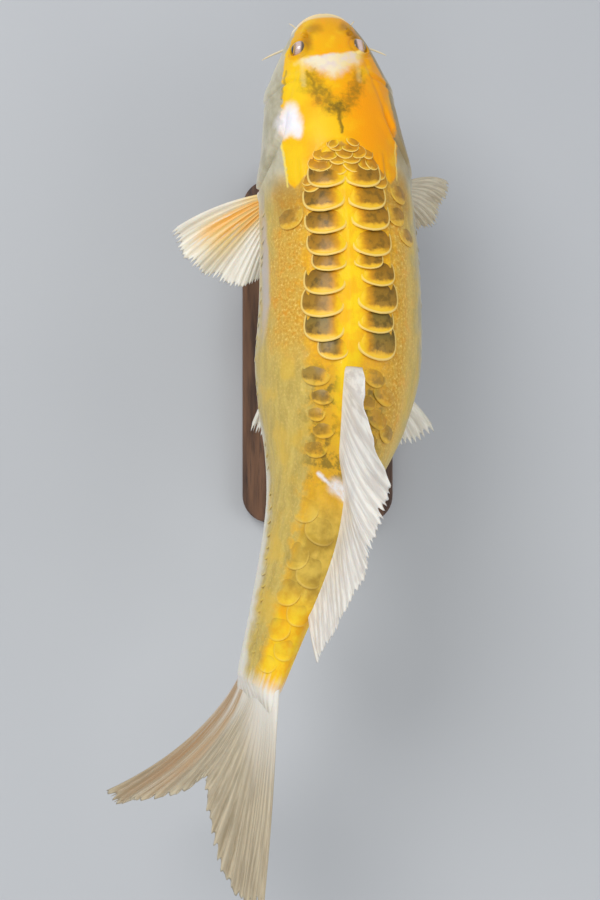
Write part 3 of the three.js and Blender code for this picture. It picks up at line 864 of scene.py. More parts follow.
def mouth_relief(along, up):
    above, fade = over_the_slit(along, up)
    snout = 1.6 * (1 - step(along, 0, 16)) * step(above, 0.5, 4)
    slit = -2.8 * ridge(above, 0.9)
    lips = 1.9 * ridge(above - 2.8, 1.9) + 1.7 * ridge(above + 2.7, 1.8)
    folds = -1.1 * ridge(above - 6.4, 1.1) - 0.5 * ridge(above - 10, 1.2) - ridge(above + 6.2, 1.1)
    corner = line_distance(along, up, smooth_line([(14, -25), (17, -28), (21, -33), (27, -37)]))
    return snout + fade * (slit + lips + folds) - 0.9 * ridge(corner, 1.2) * step(along, 12, 16)


def mouth_paint(along, up):
    """Where the lips and the slit are, as a map for the skin's material."""
    above, fade = over_the_slit(along, up)
    lips = np.maximum(ridge(above - 2.8, 2.3), ridge(above + 2.4, 2.0))
    return np.stack([fade * lips, fade * ridge(above, 0.9)], -1)


def nostril_relief(points, side):
    middle = body_point(NOSTRIL["along"], side * math.radians(NOSTRIL["turn"]))
    _, right, back, _ = body_frame(NOSTRIL["along"])
    offset = points - middle
    behind, beside = offset @ back, offset @ right
    around = np.linalg.norm(offset, axis=-1)
    front_hole = np.hypot(behind + 1.9, beside)
    rear_hole = np.hypot(behind - 1.7, beside - 0.3 * side)
    flap = ridge(behind + 0.1, 0.7) * ridge(beside, 2.2)
    near = around < 9
    bulge = 0.9 * ridge(around, 4.2)
    return near * (bulge - 1.9 * ridge(front_hole, 1.1) - 2.6 * ridge(rear_hole, 1.4) + 1.2 * flap)


def eye_relief(points, side):
    middle = body_point(EYE["along"], side * math.radians(EYE["turn"]))
    around = np.linalg.norm(points - middle, axis=-1)
    rim = 1.0 * ridge(around - 5.9, 1.0) - 0.45 * ridge(around - 7.9, 0.8)
    socket = -3.0 * (1 - step(around, 3.9, 5.1))
    return rim + socket + 1.1 * ridge(around, 11)


# %% [markdown]
# The side of a carp's head is a set of thin plates under the skin: a cheek, a curved plate in
# front of the gill cover, and the cover itself, which is free along its rear edge and stands a
# little proud of the shoulder.

# %% Relief of the cheeks and gill covers
CHEEK_FOLD = [(47, 17), (52, 4), (56, -13), (54, -28), (44, -38), (30, -36)]
EYE_FOLD = [(20, 0), (33, -5), (40, -13), (38, -24), (27, -27)]
COVER_FOLD = [(58, -28), (68, -32), (80, -34), (92, -32), (102, -26)]
TEMPLE_FOLD = [(36, 14), (46, 18), (58, 21), (72, 23), (88, 24)]


def gill_relief(along, up):
    x = (along - GILL["along"]) / GILL["half_length"]
    y = (up - GILL["up"]) / GILL["half_height"]
    past_edge = (np.hypot(x, y) - 1) * GILL["half_height"]
    rear = step(along, 60, 84)
    plate = 1.9 * step(past_edge, -24, -2.5) * (1 - step(past_edge, -0.9, 0.5))
    slit = -2.2 * ridge(past_edge - 1.3, 1.2)
    shoulder = 0.9 * ridge(past_edge - 5.5, 2.6)
    spokes = np.sin(30 * np.arctan2(up - 10, along - 54))
    inside = step(past_edge, -3, -9) * step(along, 58, 66)
    return rear * (plate + slit + shoulder) + 0.16 * spokes * inside


def cheek_relief(along, up):
    cheek = line_distance(along, up, smooth_line(CHEEK_FOLD))
    lines = -1.1 * ridge(cheek, 1.1) + 0.5 * ridge(cheek - 3.2, 2.0)
    lines -= 0.5 * ridge(line_distance(along, up, smooth_line(EYE_FOLD)), 1.1)
    lines -= 0.6 * ridge(line_distance(along, up, smooth_line(COVER_FOLD)), 1.1)
    lines -= 0.6 * ridge(line_distance(along, up, smooth_line(TEMPLE_FOLD)), 1.3)
    bulge = 1.2 * ridge(np.hypot((along - 40) / 1.3, up + 14), 9)
    bulge += 1.8 * ridge(np.hypot((along - 49) / 0.9, (up + 12) / 1.6), 7)
    return lines + bulge


def throat_relief(along, out, up):
    """The gill membranes meet under the throat, with a few curved rays in each."""
    under = step(up, -36, -44) * step(along, 22, 32) * (1 - step(along, 84, 96))
    rays = np.cos(2 * np.pi * (np.abs(out) - 0.12 * (along - 30)) / 7)
    return under * (0.35 * rays - 1.2 * ridge(out, 1.2))


# %% [markdown]
# The trunk has the pores of the lateral line, a fleshy base under the back fin, a faint keel in
# front of it, the edge of the skull's skin at the nape, and creases on the inside of the bend.

# %% Relief of the trunk
def lateral_line(along):
    """How far over the spine the lateral line runs: down behind the gills and up to the tail."""
    share = along / BODY_LENGTH
    sag = np.sin(np.pi * np.clip((share - 0.24) / 0.76, 0, 1)) * (1 - 0.4 * share)
    return 8 - 12 * sag


def trunk_relief(along, around, up):
    pores = 0.5 + 0.5 * np.cos(2 * np.pi * along / 5.2)
    on_trunk = step(along, 106, 116)
    lateral = -on_trunk * ridge(up - lateral_line(along), 0.9) * (0.25 + 0.5 * pores)
    fin_base = step(along, DORSAL["from"] - 12, DORSAL["from"] + 2)
    fin_base *= 1 - step(along, DORSAL["to"] - 6, DORSAL["to"] + 10)
    dorsal = 1.7 * fin_base * ridge(around - fin_line(along), 4.2)
    keel = 0.22 * ridge(around, 1.0) * step(along, 104, 114) * (1 - step(along, 214, 226))
    nape = np.abs(around)
    arch = np.where(nape < 23, 91 + 16 * (nape / 23) ** 2, 1e3)
    fold = -0.8 * ridge(along - arch, 1.1) * (1 - step(nape, 21, 23))
    beside = step(along, 96, 104) * (1 - step(along, 214, 224))
    band = 0.5 * beside * (ridge(nape - 27, 1.6) - ridge(nape - 29.5, 1.6))
    ripples = 0.07 * np.sin(around * 0.7 + 3 * np.sin(along * 0.03)) * step(along, 200, 260)
    creases = 0.22 * np.sin(2 * np.pi * along / 8.5 + around * 0.08) * step(along, 322, 350)
    creases *= (1 - step(along, 405, 425)) * step(-around, -10, 12) * (1 - step(-around, 40, 62))
    return lateral + dorsal + keel + fold + band + ripples + creases


def root_relief(points):
    """Flesh over the roots of the paired fins, and the vent in front of the anal fin."""
    total = np.zeros(points.shape[:-1])
    for along, turn, along_to, turn_to in FIN_ROOTS:
        for side in (-1, 1):
            share = np.linspace(0, 1, 5)
            turns = np.radians(turn + (turn_to - turn) * share)
            places = body_point(along + (along_to - along) * share, side * turns)
            far = np.linalg.norm(points[..., None, :] - places, axis=-1).min(axis=-1)
            total += 2.8 * ridge(far, 6.5)
    for along, turn in [(9, 98), (17, 112)]:
        for side in (-1, 1):
            far = np.linalg.norm(points - body_point(along, side * math.radians(turn)), axis=-1)
            total += 1.2 * ridge(far, 2.8)
    far = np.linalg.norm(points - body_point(VENT["along"], math.pi), axis=-1)
    anal = [body_point(a, math.pi) for a in (346, 355, 365, 374)]
    base = np.min([np.linalg.norm(points - place, axis=-1) for place in anal], axis=0)
    return total + 1.3 * ridge(far, 3.6) - 2.2 * ridge(far, 1.3) + 1.2 * ridge(base, 4.5)


# %% [markdown]
# The rows of squares are laid out first, closer at the snout. A carp's skin runs out over the
# root of its tail fin, so the last rows flatten to a thin wedge, which leans the way the fin's
# rays go and closes inside it. The two edges of the sheet meet under the belly. Their points are
# set to the same places there, or the sheet would stay open.

# %% Wrap the skin
SKIN_GRID = {"round": 228, "down": 412, "head_rows": 0.46, "head": 104}
TAIL_CAP = 18


def skin_rows(down):
    """Distance along the spine for a share of the rows, crowded at the head."""
    split = SKIN_GRID["head_rows"]
    in_head = SKIN_GRID["head"] * np.clip(down / split, 0, 1) ** 1.35
    rest = np.clip((down - split) / (1 - split), 0, 1)
    return in_head + (BODY_LENGTH + TAIL_CAP - SKIN_GRID["head"]) * rest ** 1.12


def normals_of(points):
    """The outward direction at each point of a grid that runs round the body and down it."""
    across = np.gradient(points, axis=1)
    down = np.gradient(points, axis=0)
    normal = np.cross(down, across)
    size = np.linalg.norm(normal, axis=2, keepdims=True)
    return normal / np.maximum(size, 1e-9)


def skin_place(across, down):
    side = 2 * across - 1
    turn = np.pi * np.sign(side) * np.abs(side) ** 1.18
    along = skin_rows(down)
    on_body = np.minimum(along, BODY_LENGTH)
    out, up = section(on_body, turn)
    past = np.clip((along - on_body) / TAIL_CAP, 0, 1)
    high = np.clip(up / 25, -1, 1)
    along = along + past * (9 * high ** 2 - 4)
    lean, beyond = np.clip(high, 0, 1), along - TAIL_ROOT
    bend = 0.16 * lean ** 0.75 * beyond
    bend -= 0.0026 * beyond ** 2 * np.clip(1 - 2 * lean, 0, 1) ** 1.3
    points = placed(along, out * (1 - past) ** 1.3 + past * bend, up * (1 + 0.06 * past))
    normal = normals_of(points)
    normal[0] = (0, 1, 0)
    around = tape_round(points)
    relief = mouth_relief(along, up) + gill_relief(along, up) + cheek_relief(along, up)
    relief += throat_relief(along, out, up) + root_relief(points)
    relief += trunk_relief(along, around, up)
    for side_sign in (-1, 1):
        relief += nostril_relief(points, side_sign) + eye_relief(points, side_sign)
    points = points + normal * ((relief - COAT) * (1 - past))[..., None]
    points[:, [0, -1]] = points[:, [0, -1]].mean(axis=1, keepdims=True)
    maps = {
        "Body": np.stack([around, along], -1) / 100,
        "Round": np.stack([turn / math.pi, along / BODY_LENGTH], -1),
        "Mouth": mouth_paint(along, up),
        "OFBake": bake_map(across, down),
    }
    return points, maps


FLESH = ["head", "jaw_lower", "gill_cover_left", "gill_cover_right"]
FLESH += ["trunk_fore", "trunk_hind", "tail_wrist"]
skin_mesh = wrap("koi_skin", SKIN_GRID["round"], SKIN_GRID["down"], skin_place)
finish_piece("koi_skin", skin_mesh, SKIN, FLESH)

# %% [markdown]
# ## Eyes
# A fish's eye is a ball in a soft socket with no lids. Seen from above it shows mostly the pale
# upper half of its iris, with a dark ring, and the pupil looks out to the side. The lower half of
# the iris is darkened with painted shade, and the dark ring at the edge is the rim of the eye with
# painted shade of the socket over it. The ball is a wrapped sheet whose pole is turned to face
# outwards, with a slightly raised cornea. A map of the spin round the pole and the angle from it
# paints pupil, ring and iris, so they stay round.

# %% Eyes
GAZE = {"out": 0.95, "forward": 0.14, "up": 0.12}


def eye_material():
    material, nodes = new_material("Eye", shade(215, 195, 190))
    on_ball = nodes.uv("Iris")
    spin, angle = nodes.split(on_ball)
    spokes = nodes.noise(nodes.stretched(on_ball, (60, 3, 1)), 1.0, 3)
    pearl = nodes.mix(nodes.smooth(spokes, 0.35, 0.65), shade(190, 158, 148), shade(228, 206, 200))
    amber = nodes.mix(nodes.smooth(spokes, 0.4, 0.6), shade(120, 84, 36), shade(196, 148, 66))
    iris = nodes.mix(nodes.smooth(angle, 36, 54), amber, pearl)
    # painted shade: the lower half of the iris is darkened
    shadow = nodes.times(nodes.smooth(nodes.math("SINE", nodes.times(spin, 2 * math.pi)), 0.1, -0.7), 0.7)
    iris = nodes.mix(shadow, iris, shade(132, 104, 62))
    colour = nodes.mix(nodes.smooth(angle, 31, 28), iris, shade(14, 12, 12))
    ring = nodes.times(nodes.smooth(angle, 29, 31), nodes.smooth(angle, 36, 33))
    colour = nodes.mix(ring, colour, shade(230, 182, 70))
    # the dark edge of the ball is its rim, partly its own colour and partly painted shade of the socket
    colour = nodes.mix(nodes.smooth(angle, 72, 86), colour, shade(96, 82, 66))
    finish_material(nodes, colour, Roughness=0.12, Coat_Weight=1.0, Coat_Roughness=0.02)
    return material


def eye_mesh(name, side):
    _, right, back, up = body_frame(EYE["along"])
    centre = body_point(EYE["along"], side * math.radians(EYE["turn"]), -EYE["sunk"])
    pole = right * side * GAZE["out"] - back * GAZE["forward"] + up * GAZE["up"]
    pole /= np.linalg.norm(pole)
    east = np.cross(up, pole)
    east /= np.linalg.norm(east)
    north = np.cross(pole, east)

    def place(across, down):
        spin, angle = 2 * np.pi * across, np.pi * down
        cornea = 1 + 0.05 * np.exp(-((angle / 0.55) ** 2))
        flat = np.sin(angle)
        offset = (
            pole * np.cos(angle)[..., None]
            + east * (flat * np.cos(spin))[..., None]
            + north * (flat * np.sin(spin))[..., None]
        )
        points = centre + offset * (EYE["radius"] * cornea)[..., None]
        maps = {"Iris": np.stack([across, np.degrees(angle)], -1)}
        maps["OFBake"] = bake_map(across, down)
        return points, maps

    return wrap(name, EYE["round"], EYE["down"], place)


EYE_PAINT = eye_material()
SIDES = {"left": -1, "right": 1}
for word, side in SIDES.items():
    name = f"koi_eye_{word}"
    finish_piece(name, eye_mesh(name, side), EYE_PAINT, [f"eye_{word}"])

# %% [markdown]
# ## Feelers
# A carp has two soft feelers on each side of its mouth. Each is a tube wrapped round a bent line,
# thick where it grows out of the lip and fine at its tip.

# %% Feelers
# along the spine, round from the ridge, length, thickness, and the direction at root and tip
FEELERS = {
    "short": {
        "along": 9, "turn": 98, "long": 12, "thick": 0.85,
        "root": (0.55, -0.75, -0.3), "tip": (0.3, -0.4, -0.8),
    },
    "long": {
        "along": 17, "turn": 112, "long": 21, "thick": 1.15,
        "root": (0.95, 0.15, -0.25), "tip": (0.8, 0.45, 0.1),
    },
}
ROOT_DEPTH = 3
FEELER_GRID = {"round": 16, "down": 44}


def bent_ray(start, axes, long, root, tip, share):
    """The place at a share of a ray that bends from its root's direction to its tip's."""
    point = start
    for axis, at_root, at_tip in zip(axes, root, tip):
        part = long * (share * at_root + 0.5 * share * share * (at_tip - at_root))
        point = point + axis * np.asarray(part)[..., None]
    return point


def feeler_mesh(name, shape, side):
    _, right, back, up = body_frame(shape["along"])
    start = body_point(shape["along"], side * math.radians(shape["turn"]), -ROOT_DEPTH)
    start = start - right * side * 1.5
    root, tip = ([side * d[0], d[1], d[2]] for d in (shape["root"], shape["tip"]))

    def place(across, down):
        def line(share):
            return bent_ray(start, (right, back, up), shape["long"] + ROOT_DEPTH, root, tip, share)
        ahead = line(down + 0.01) - line(down - 0.01)
        ahead /= np.linalg.norm(ahead, axis=-1, keepdims=True)
        beside = np.cross(np.broadcast_to(up, ahead.shape), ahead)
        beside /= np.linalg.norm(beside, axis=-1, keepdims=True)
        rise = np.cross(ahead, beside)
        spin = 2 * np.pi * across
        end = np.sqrt(np.clip(1 - down ** 12, 0, 1)) * np.sqrt(np.clip(down * 30, 0, 1))
        flare = 1 + 0.05 * np.cos(down * 60) + 0.9 * np.exp(-24 * down)
        radius = shape["thick"] * (1 - 0.68 * down ** 0.8) * end * flare
        ring = beside * np.cos(spin)[..., None] + rise * np.sin(spin)[..., None]
        points = line(down) + ring * radius[..., None]
        return points, {"Fin": np.stack([across, down], -1), "OFBake": bake_map(across, down)}

    return wrap(name, FEELER_GRID["round"], FEELER_GRID["down"], place)


def feeler_material():
    material, nodes = new_material("Feeler", shade(228, 205, 150))
    where = nodes.uv("Fin")
    _, out = nodes.split(where)
    grain = nodes.noise(nodes.stretched(where, (6, 30, 1)), 1.0, 3)
    colour = nodes.mix(nodes.smooth(out, 0.1, 0.8), shade(204, 196, 170), shade(238, 218, 176))
    colour = nodes.mix(nodes.smooth(grain, 0.5, 0.7, 0.0, 0.4), colour, shade(214, 184, 130))
    finish_material(nodes, colour, Roughness=0.4, Normal=nodes.bump(grain, 0.4, 0.0004), Coat_Weight=0.4)
    return material


FEELER_PAINT = feeler_material()
for kind, shape in FEELERS.items():
    for word, side in SIDES.items():
        name = f"koi_feeler_{kind}_{word}"
        made = feeler_mesh(name, shape, side)
        finish_piece(name, made, FEELER_PAINT, [f"barbel_{kind}_{word}"])

# %% [markdown]
# ## Fins
# A fin is a web of skin over soft rays. The rays start as single rods, split in two on the way
# out, and end in points that stand past the web, with small tears between them. A flat plate with
# stripes would show none of that from the side, so the web is wrapped as a closed sheet whose
# thickness swells over each ray. The sheet also pleats between rays, more towards the edge, and
# thickens at its root, where it grows out of the flesh.

# %% Fin shapes
# from and to are along the spine and round from the ridge in degrees, and deep is how far in the
# root is. Each ray has its place between them, its length, and its direction at the root and tip
# as out, back and up. ripple is the height and number of soft waves, pleat, notch and tear are
# how uneven the web is, neck is how thick the root is, and bare is the share without rods.
FINS = {
    "dorsal": {
        "from": (230, 0), "to": (380, 0), "count": 21, "rows": 46, "pleat": 0.8, "notch": 0.03,
        "rays": [
            (0.0, 22, (0.3, 0.0, 0.95), (0.6, 0.1, 0.78)),
            (0.05, 36, (0.22, 0.42, 0.88), (0.5, 0.55, 0.66)),
            (0.14, 69, (0.16, 0.74, 0.64), (0.74, 0.64, 0.18)),
            (0.24, 67, (0.14, 0.8, 0.58), (0.76, 0.64, 0.05)),
            (0.5, 57, (0.12, 0.8, 0.58), (0.54, 0.8, 0.0)),
            (0.8, 47, (0.14, 0.8, 0.58), (0.32, 0.9, 0.0)),
            (1.0, 34, (0.16, 0.82, 0.54), (0.6, 0.84, 0.0)),
        ],
        "ripple": (2, 3.5), "bend": True,
    },
    "anal": {
        "from": (346, 180), "to": (374, 180), "count": 8, "rows": 34, "pleat": 0.7, "notch": 0.06,
        "rays": [
            (0.0, 50, (0.2, 0.55, -0.8), (0.4, 0.75, -0.5)),
            (0.2, 60, (0.2, 0.6, -0.78), (0.4, 0.8, -0.4)),
            (1.0, 34, (0.2, 0.85, -0.5), (0.3, 0.9, -0.2)),
        ],
        "ripple": (1.2, 1.5),
    },
    "pectoral_left": {
        "from": (109, -112), "to": (121, -133), "count": 16, "rows": 42, "pleat": 0.35, "notch": 0.02,
        "rays": [
            (0.0, 73, (0.97, 0.06, -0.2), (0.84, 0.5, -0.1)),
            (0.3, 70, (0.84, 0.46, -0.22), (0.76, 0.62, -0.12)),
            (0.7, 60, (0.56, 0.78, -0.24), (0.46, 0.86, -0.15)),
            (1.0, 44, (0.34, 0.88, -0.3), (0.16, 0.96, -0.2)),
        ],
        "ripple": (3.4, 2.3), "deep": 5, "tear": 0.08,
    },
    "pectoral_right": {
        "from": (109, 112), "to": (121, 133), "count": 16, "rows": 42, "pleat": 1.0, "notch": 0.06,
        "rays": [
            (0.0, 66, (0.84, -0.4, -0.34), (0.5, 0.15, -0.85)),
            (0.3, 68, (0.72, -0.16, -0.66), (0.5, 0.4, -0.76)),
            (0.7, 58, (0.5, 0.1, -0.84), (0.3, 0.5, -0.8)),
            (1.0, 42, (0.3, 0.4, -0.85), (0.2, 0.66, -0.7)),
        ],
        "ripple": (2, 3), "deep": 5, "tear": 0.04,
    },
    "pelvic_left": {
        "from": (222, -146), "to": (228, -161), "count": 9, "rows": 34, "pleat": 0.8, "notch": 0.08,
        "rays": [
            (0.0, 58, (0.54, 0.74, -0.4), (0.22, 0.92, -0.3)),
            (0.4, 56, (0.34, 0.84, -0.42), (0.14, 0.94, -0.28)),
            (1.0, 38, (0.1, 0.92, -0.4), (0.0, 0.97, -0.24)),
        ],
        "ripple": (1.2, 2), "deep": 6,
    },
    "pelvic_right": {
        "from": (222, 146), "to": (228, 161), "count": 9, "rows": 34, "pleat": 0.8, "notch": 0.08,
        "rays": [
            (0.0, 66, (0.9, 0.4, -0.2), (0.6, 0.78, -0.16)),
            (0.4, 62, (0.66, 0.68, -0.32), (0.4, 0.88, -0.22)),
            (1.0, 42, (0.2, 0.9, -0.4), (0.1, 0.96, -0.24)),
        ],
        "ripple": (1.2, 2), "deep": 6,
    },
}
TAIL_FIN = {
    "along": TAIL_ROOT, "half_height": 22, "count": 26, "rows": 64, "pleat": 1.3, "notch": 0.02,
    "neck": 9, "bare": 0.32, "tear": 0.035,
    "rays": [
        (0.0, 144, (0.16, 0.93, 0.3), (0.14, 0.91, 0.16)),
        (0.25, 142, (0.1, 0.97, 0.16), (0.08, 0.96, 0.08)),
        (0.5, 78, (0.0, 0.99, 0.0), (-0.4, 0.94, -0.1)),
        (0.75, 126, (0.0, 0.97, -0.2), (-0.6, 0.77, -0.22)),
        (1.0, 142, (0.0, 0.93, -0.34), (-0.7, 0.68, -0.31)),
    ],
    "ripple": (4.5, 3),
}
WEB = {"root": 1.6, "edge": 0.6}
RAY = {"root": 0.7, "edge": 0.4}
COLUMNS_PER_RAY = 10
print(sum(shape["count"] for shape in [*FINS.values(), TAIL_FIN]), "rays in", len(FINS) + 1, "fins")


# %% [markdown]
# One function shapes every fin. The sheet goes out on one face and back on the other. The web's
# place comes from a bent ray that is steered smoothly from the first ray to the last, and waves,
# pleats and rods are added along its normal. The tail fin differs only in its root, which stands
# upright across the end of the body.

# %% A fin wrapped over its rays
def ray_profile(at, share, count):
    """1 along the middle of each ray and 0 in the web. Each ray splits on its way out."""
    inside = np.mod(at * count, 1) - 0.5
    apart = 0.23 * step(share, 0.3, 0.95)
    wide = 0.17 - 0.06 * share
    return np.maximum(ridge(inside - apart, wide), ridge(inside + apart, wide))


def fin_mesh(name, shape, root_at, side, seed):
    places = [ray[0] for ray in shape["rays"]]
    long_at = curve_through(places, [ray[1] for ray in shape["rays"]])

    def steered(end):
        """The rays' directions at one end, 2 for the root and 3 for the tip, right to left."""
        signs = (side, 1, 1)
        turns = [[ray[end][i] * signs[i] for ray in shape["rays"]] for i in range(3)]
        return [curve_through(places, values) for values in turns]

    at_root, at_tip = steered(2), steered(3)
    count = shape["count"]
    high, waves = shape["ripple"]
    chance = np.random.default_rng(seed)
    torn = chance.random(count + 1) ** 3
    lengthened = 0.035 * (chance.random(2 * count + 2) - 0.5)

    def web(at, share):
        start, axes = root_at(at)
        root, tip = [f(at) for f in at_root], [f(at) for f in at_tip]
        return bent_ray(start, axes, long_at(at), root, tip, share)

    def place(across, down):
        lap = 2 * across
        top = lap <= 1
        at = np.where(top, lap, 2 - lap)
        tips = ray_profile(at, np.ones_like(at), count)
        ragged = np.interp(at * (2 * count + 1), np.arange(2 * count + 2), lengthened)
        tear = np.interp(at * count, np.arange(count + 1), torn) * (1 - tips)
        edge = 1 - shape["notch"] * (1 - tips) - shape.get("tear", 0.07) * tear + ragged
        share = down * np.minimum(edge, 1.03)
        across_web = web(np.minimum(at + 0.01, 1), share) - web(np.maximum(at - 0.01, 0), share)
        onwards = web(at, share + 0.01) - web(at, np.maximum(share - 0.01, 0))
        normal = np.cross(across_web, onwards)
        normal /= np.linalg.norm(normal, axis=-1, keepdims=True)
        wave = high * share * share * np.sin(2 * np.pi * waves * at)
        pleat = shape["pleat"] * share ** 1.3 * np.cos(2 * np.pi * at * count)
        rod = ray_profile(at, share, count) * step(share, 0.04, shape.get("bare", 0.2))
        thick = WEB["root"] + (WEB["edge"] - WEB["root"]) * share
        thick = thick + (RAY["root"] + (RAY["edge"] - RAY["root"]) * share) * rod
        neck = shape.get("neck", 2.6) * np.sqrt(np.clip(4 * at * (1 - at), 0, 1))
        thick = thick + neck * (1 - step(share, 0, shape.get("bare", 0.2)))
        rounding = np.clip((1 - down) * shape["rows"] / 2, 0, 1) ** 0.5
        rounding *= np.clip(down * shape["rows"], 0, 1)
        rounding *= np.clip(np.minimum(at, 1 - at) * count * 5, 0, 1) ** 0.5
        lift = wave + pleat + np.where(top, 0.5, -0.5) * thick * rounding
        points = web(at, share) + normal * lift[..., None]
        maps = {"Fin": np.stack([at, down], -1), "Ray": np.stack([at * count, down], -1)}
        maps["OFBake"] = bake_map(across, down)
        return points, maps

    return wrap(name, 2 * COLUMNS_PER_RAY * count, shape["rows"], place)


def body_root(shape):
    (along, turn), (along_to, turn_to) = shape["from"], shape["to"]

    def root_at(at):
        place = along + (along_to - along) * at
        turns = np.radians(turn + (turn_to - turn) * at)
        if shape.get("bend"):
            turns = turn_at(place, fin_line(place))
        _, right, back, up = body_frame(place)
        return body_point(place, turns, -shape.get("deep", 3)), (right, back, up)

    return root_at


def tail_root(at):
    origin, right, back, up = body_frame(TAIL_FIN["along"])
    high = TAIL_FIN["half_height"] * (1 - 2 * np.asarray(at))
    return origin + up * high[..., None], (right, back, up)


# %% [markdown]
# The paint of a fin follows two maps of its own. One runs from the first ray to the last and out
# from the root, for the root's colour and the broad streaks. The other counts the rays, so that
# the fine lines and the valleys between rays keep their width on every fin. The fine dark lines
# along the rays are partly their own colour and partly painted shade, and the darker valleys and
# soft clouds are painted shade of the web's folds. The left breast fin is golden with orange
# streaks, and the tail turns from white to sand and tan.

# %% Fin materials
def fin_material(name, pale, line_and_fold_shade, root_paint, root_reach, streaks=()):
    material, nodes = new_material(name, pale)
    at, out = nodes.split(nodes.uv("Fin"))
    ray = nodes.uv("Ray")
    count, _ = nodes.split(ray)
    lines = nodes.noise(nodes.stretched(ray, (3.1, 3, 1)), 1.0, 4, 0.6)
    clouds = nodes.noise(nodes.stretched(ray, (0.3, 3, 1)), 1.0, 3, 0.6)
    # painted shade: darker valleys between the rays; the fine lines are partly the rays' colour and partly
    # painted shade
    between = nodes.smooth(nodes.math("COSINE", nodes.times(count, 2 * math.pi)), 0.0, 1.0)
    low = nodes.math("MAXIMUM", nodes.smooth(lines, 0.6, 0.36, 0.0, 0.8), nodes.times(between, 0.7))
    colour = nodes.mix(nodes.times(low, nodes.smooth(out, 0.0, 0.25)), pale, line_and_fold_shade)
    # painted shade: soft clouds of the web's folds
    colour = nodes.mix(nodes.smooth(clouds, 0.52, 0.7, 0.0, 0.4), colour, line_and_fold_shade)
    ragged = nodes.plus(out, nodes.times(nodes.minus(lines, 0.5), 0.35))
    colour = nodes.mix(nodes.smooth(ragged, root_reach, 0.02), colour, root_paint)
    for centre, width, reach, paint in streaks:
        near = nodes.smooth(nodes.unsigned(nodes.minus(at, centre)), width, 0.2 * width)
        mask = nodes.times(near, nodes.smooth(ragged, reach, 0.5 * reach), nodes.smooth(lines, 0.3, 0.5))
        colour = nodes.mix(mask, colour, paint)
    joints = nodes.math("SINE", nodes.times(out, 260.0))
    height = nodes.plus(nodes.times(lines, 0.5), nodes.times(joints, 0.06))
    finish_material(
        nodes,
        colour,
        Roughness=nodes.smooth(clouds, 0.3, 0.7, 0.32, 0.5),
        Normal=nodes.bump(height, 0.4, 0.0005),
        Subsurface_Weight=0.25,
        Subsurface_Radius=(1.0, 0.7, 0.5),
        Subsurface_Scale=0.002,
        Specular_IOR_Level=0.35,
        Coat_Weight=0.15,
        Coat_Roughness=0.15,
    )
    return material


APRICOT = shade(244, 176, 70)
FIN_PAINTS = {
    "dorsal": fin_material(
        "Back fin", shade(241, 236, 226), shade(206, 199, 190), shade(244, 232, 200), 0.1
    ),
    "pectoral_left": fin_material(
        "Left breast fin", shade(246, 242, 230), shade(222, 213, 198), shade(238, 202, 116), 0.45,
        [
            (0.3, 0.34, 1.1, shade(236, 205, 132)),
            (0.18, 0.08, 0.95, APRICOT),
            (0.3, 0.06, 0.85, APRICOT),
            (0.42, 0.07, 0.6, APRICOT),
        ],
    ),
    "pectoral_right": fin_material(
        "Right breast fin", shade(222, 212, 186), shade(184, 172, 148), shade(226, 212, 176), 0.3
    ),
    "belly": fin_material(
        "Belly fins", shade(242, 237, 224), shade(212, 205, 190), shade(238, 232, 214), 0.3
    ),
    "tail": fin_material(
        "Tail fin", shade(206, 193, 166), shade(160, 147, 122), shade(236, 230, 218), 0.6,
        [(0.9, 0.14, 1.2, shade(182, 150, 112)), (0.72, 0.07, 1.2, shade(190, 160, 122))],
    ),
}

# %% [markdown]
# Each fin grows from its own table. Its seed decides where the web is torn and which rays are a
# little longer. Both belly fins and the fin under the tail share one paint.

# %% Make the fins
for seed, (word, shape) in enumerate(FINS.items()):
    side = -1 if word.endswith("_left") else 1
    made = fin_mesh(f"koi_fin_{word}", shape, body_root(shape), side, seed + 11)
    paint = FIN_PAINTS.get(word, FIN_PAINTS["belly"])
    finish_piece(f"koi_fin_{word}", made, paint, [f"fin_{word}"])
made = fin_mesh("koi_fin_tail", TAIL_FIN, tail_root, 1, 5)
finish_piece("koi_fin_tail", made, FIN_PAINTS["tail"], ["fin_tail"])

# %% [markdown]
# ## Mirror scales
# A koi of the leather kind has no coat of small scales. It has a double row of large plates down
# its back, small odd ones at the nape, a few more on the shoulders, beside the back fin and on
# the wrist of the tail, and a loose row along each flank. Each plate lies in a pocket: its front
# edge is under the skin, its rear edge stands free over the next.

# %% Where the scales lie
# along the spine, round from the ridge, length and width
BACK_ROW = {
    "left": [
        (112, 12, 19, 23), (125, 15, 22, 26), (140, 15, 20, 26), (153.5, 15, 20, 25),
        (165, 14, 16, 21), (177, 17.5, 21, 26), (190.5, 19, 22, 27), (205, 17.5, 23, 25), (218, 11, 18, 18),
    ],
    "right": [
        (112.5, 13, 20, 23), (126, 14.5, 21, 25), (138, 16, 22, 26), (154, 16, 21, 26),
        (165, 12.5, 14, 18), (173, 19, 18, 23), (187, 19, 22, 28), (201, 17.5, 17, 24), (213, 19, 24, 26),
    ],
}
NAPE_ROWS = [(91.5, 2, 8), (94.5, 4, 9), (98, 5, 10), (102, 6, 11), (106.5, 6, 12.5)]
BESIDE_FIN = [
    (235, -20, 17, 20), (248, -15, 13, 15), (259, -18, 12, 12), (268, -13, 13, 15), (280, -17, 14, 16),
    (233, 17, 15, 16), (242, 26, 16, 19), (248, 13, 12, 12),
    (256, 22, 15, 18), (263, 32, 15, 16), (269, 17, 13, 15), (281, 19, 13, 14),
]
WRIST_PLATES = [
    (316, -17, 23, 19), (326, -3, 24, 23), (345, -16, 24, 18), (352, -1, 27, 22),
    (368, -13, 24, 18), (379, -1, 22, 19), (392, -12, 21, 17), (403, -3, 20, 16), (415, -11, 17, 14),
]
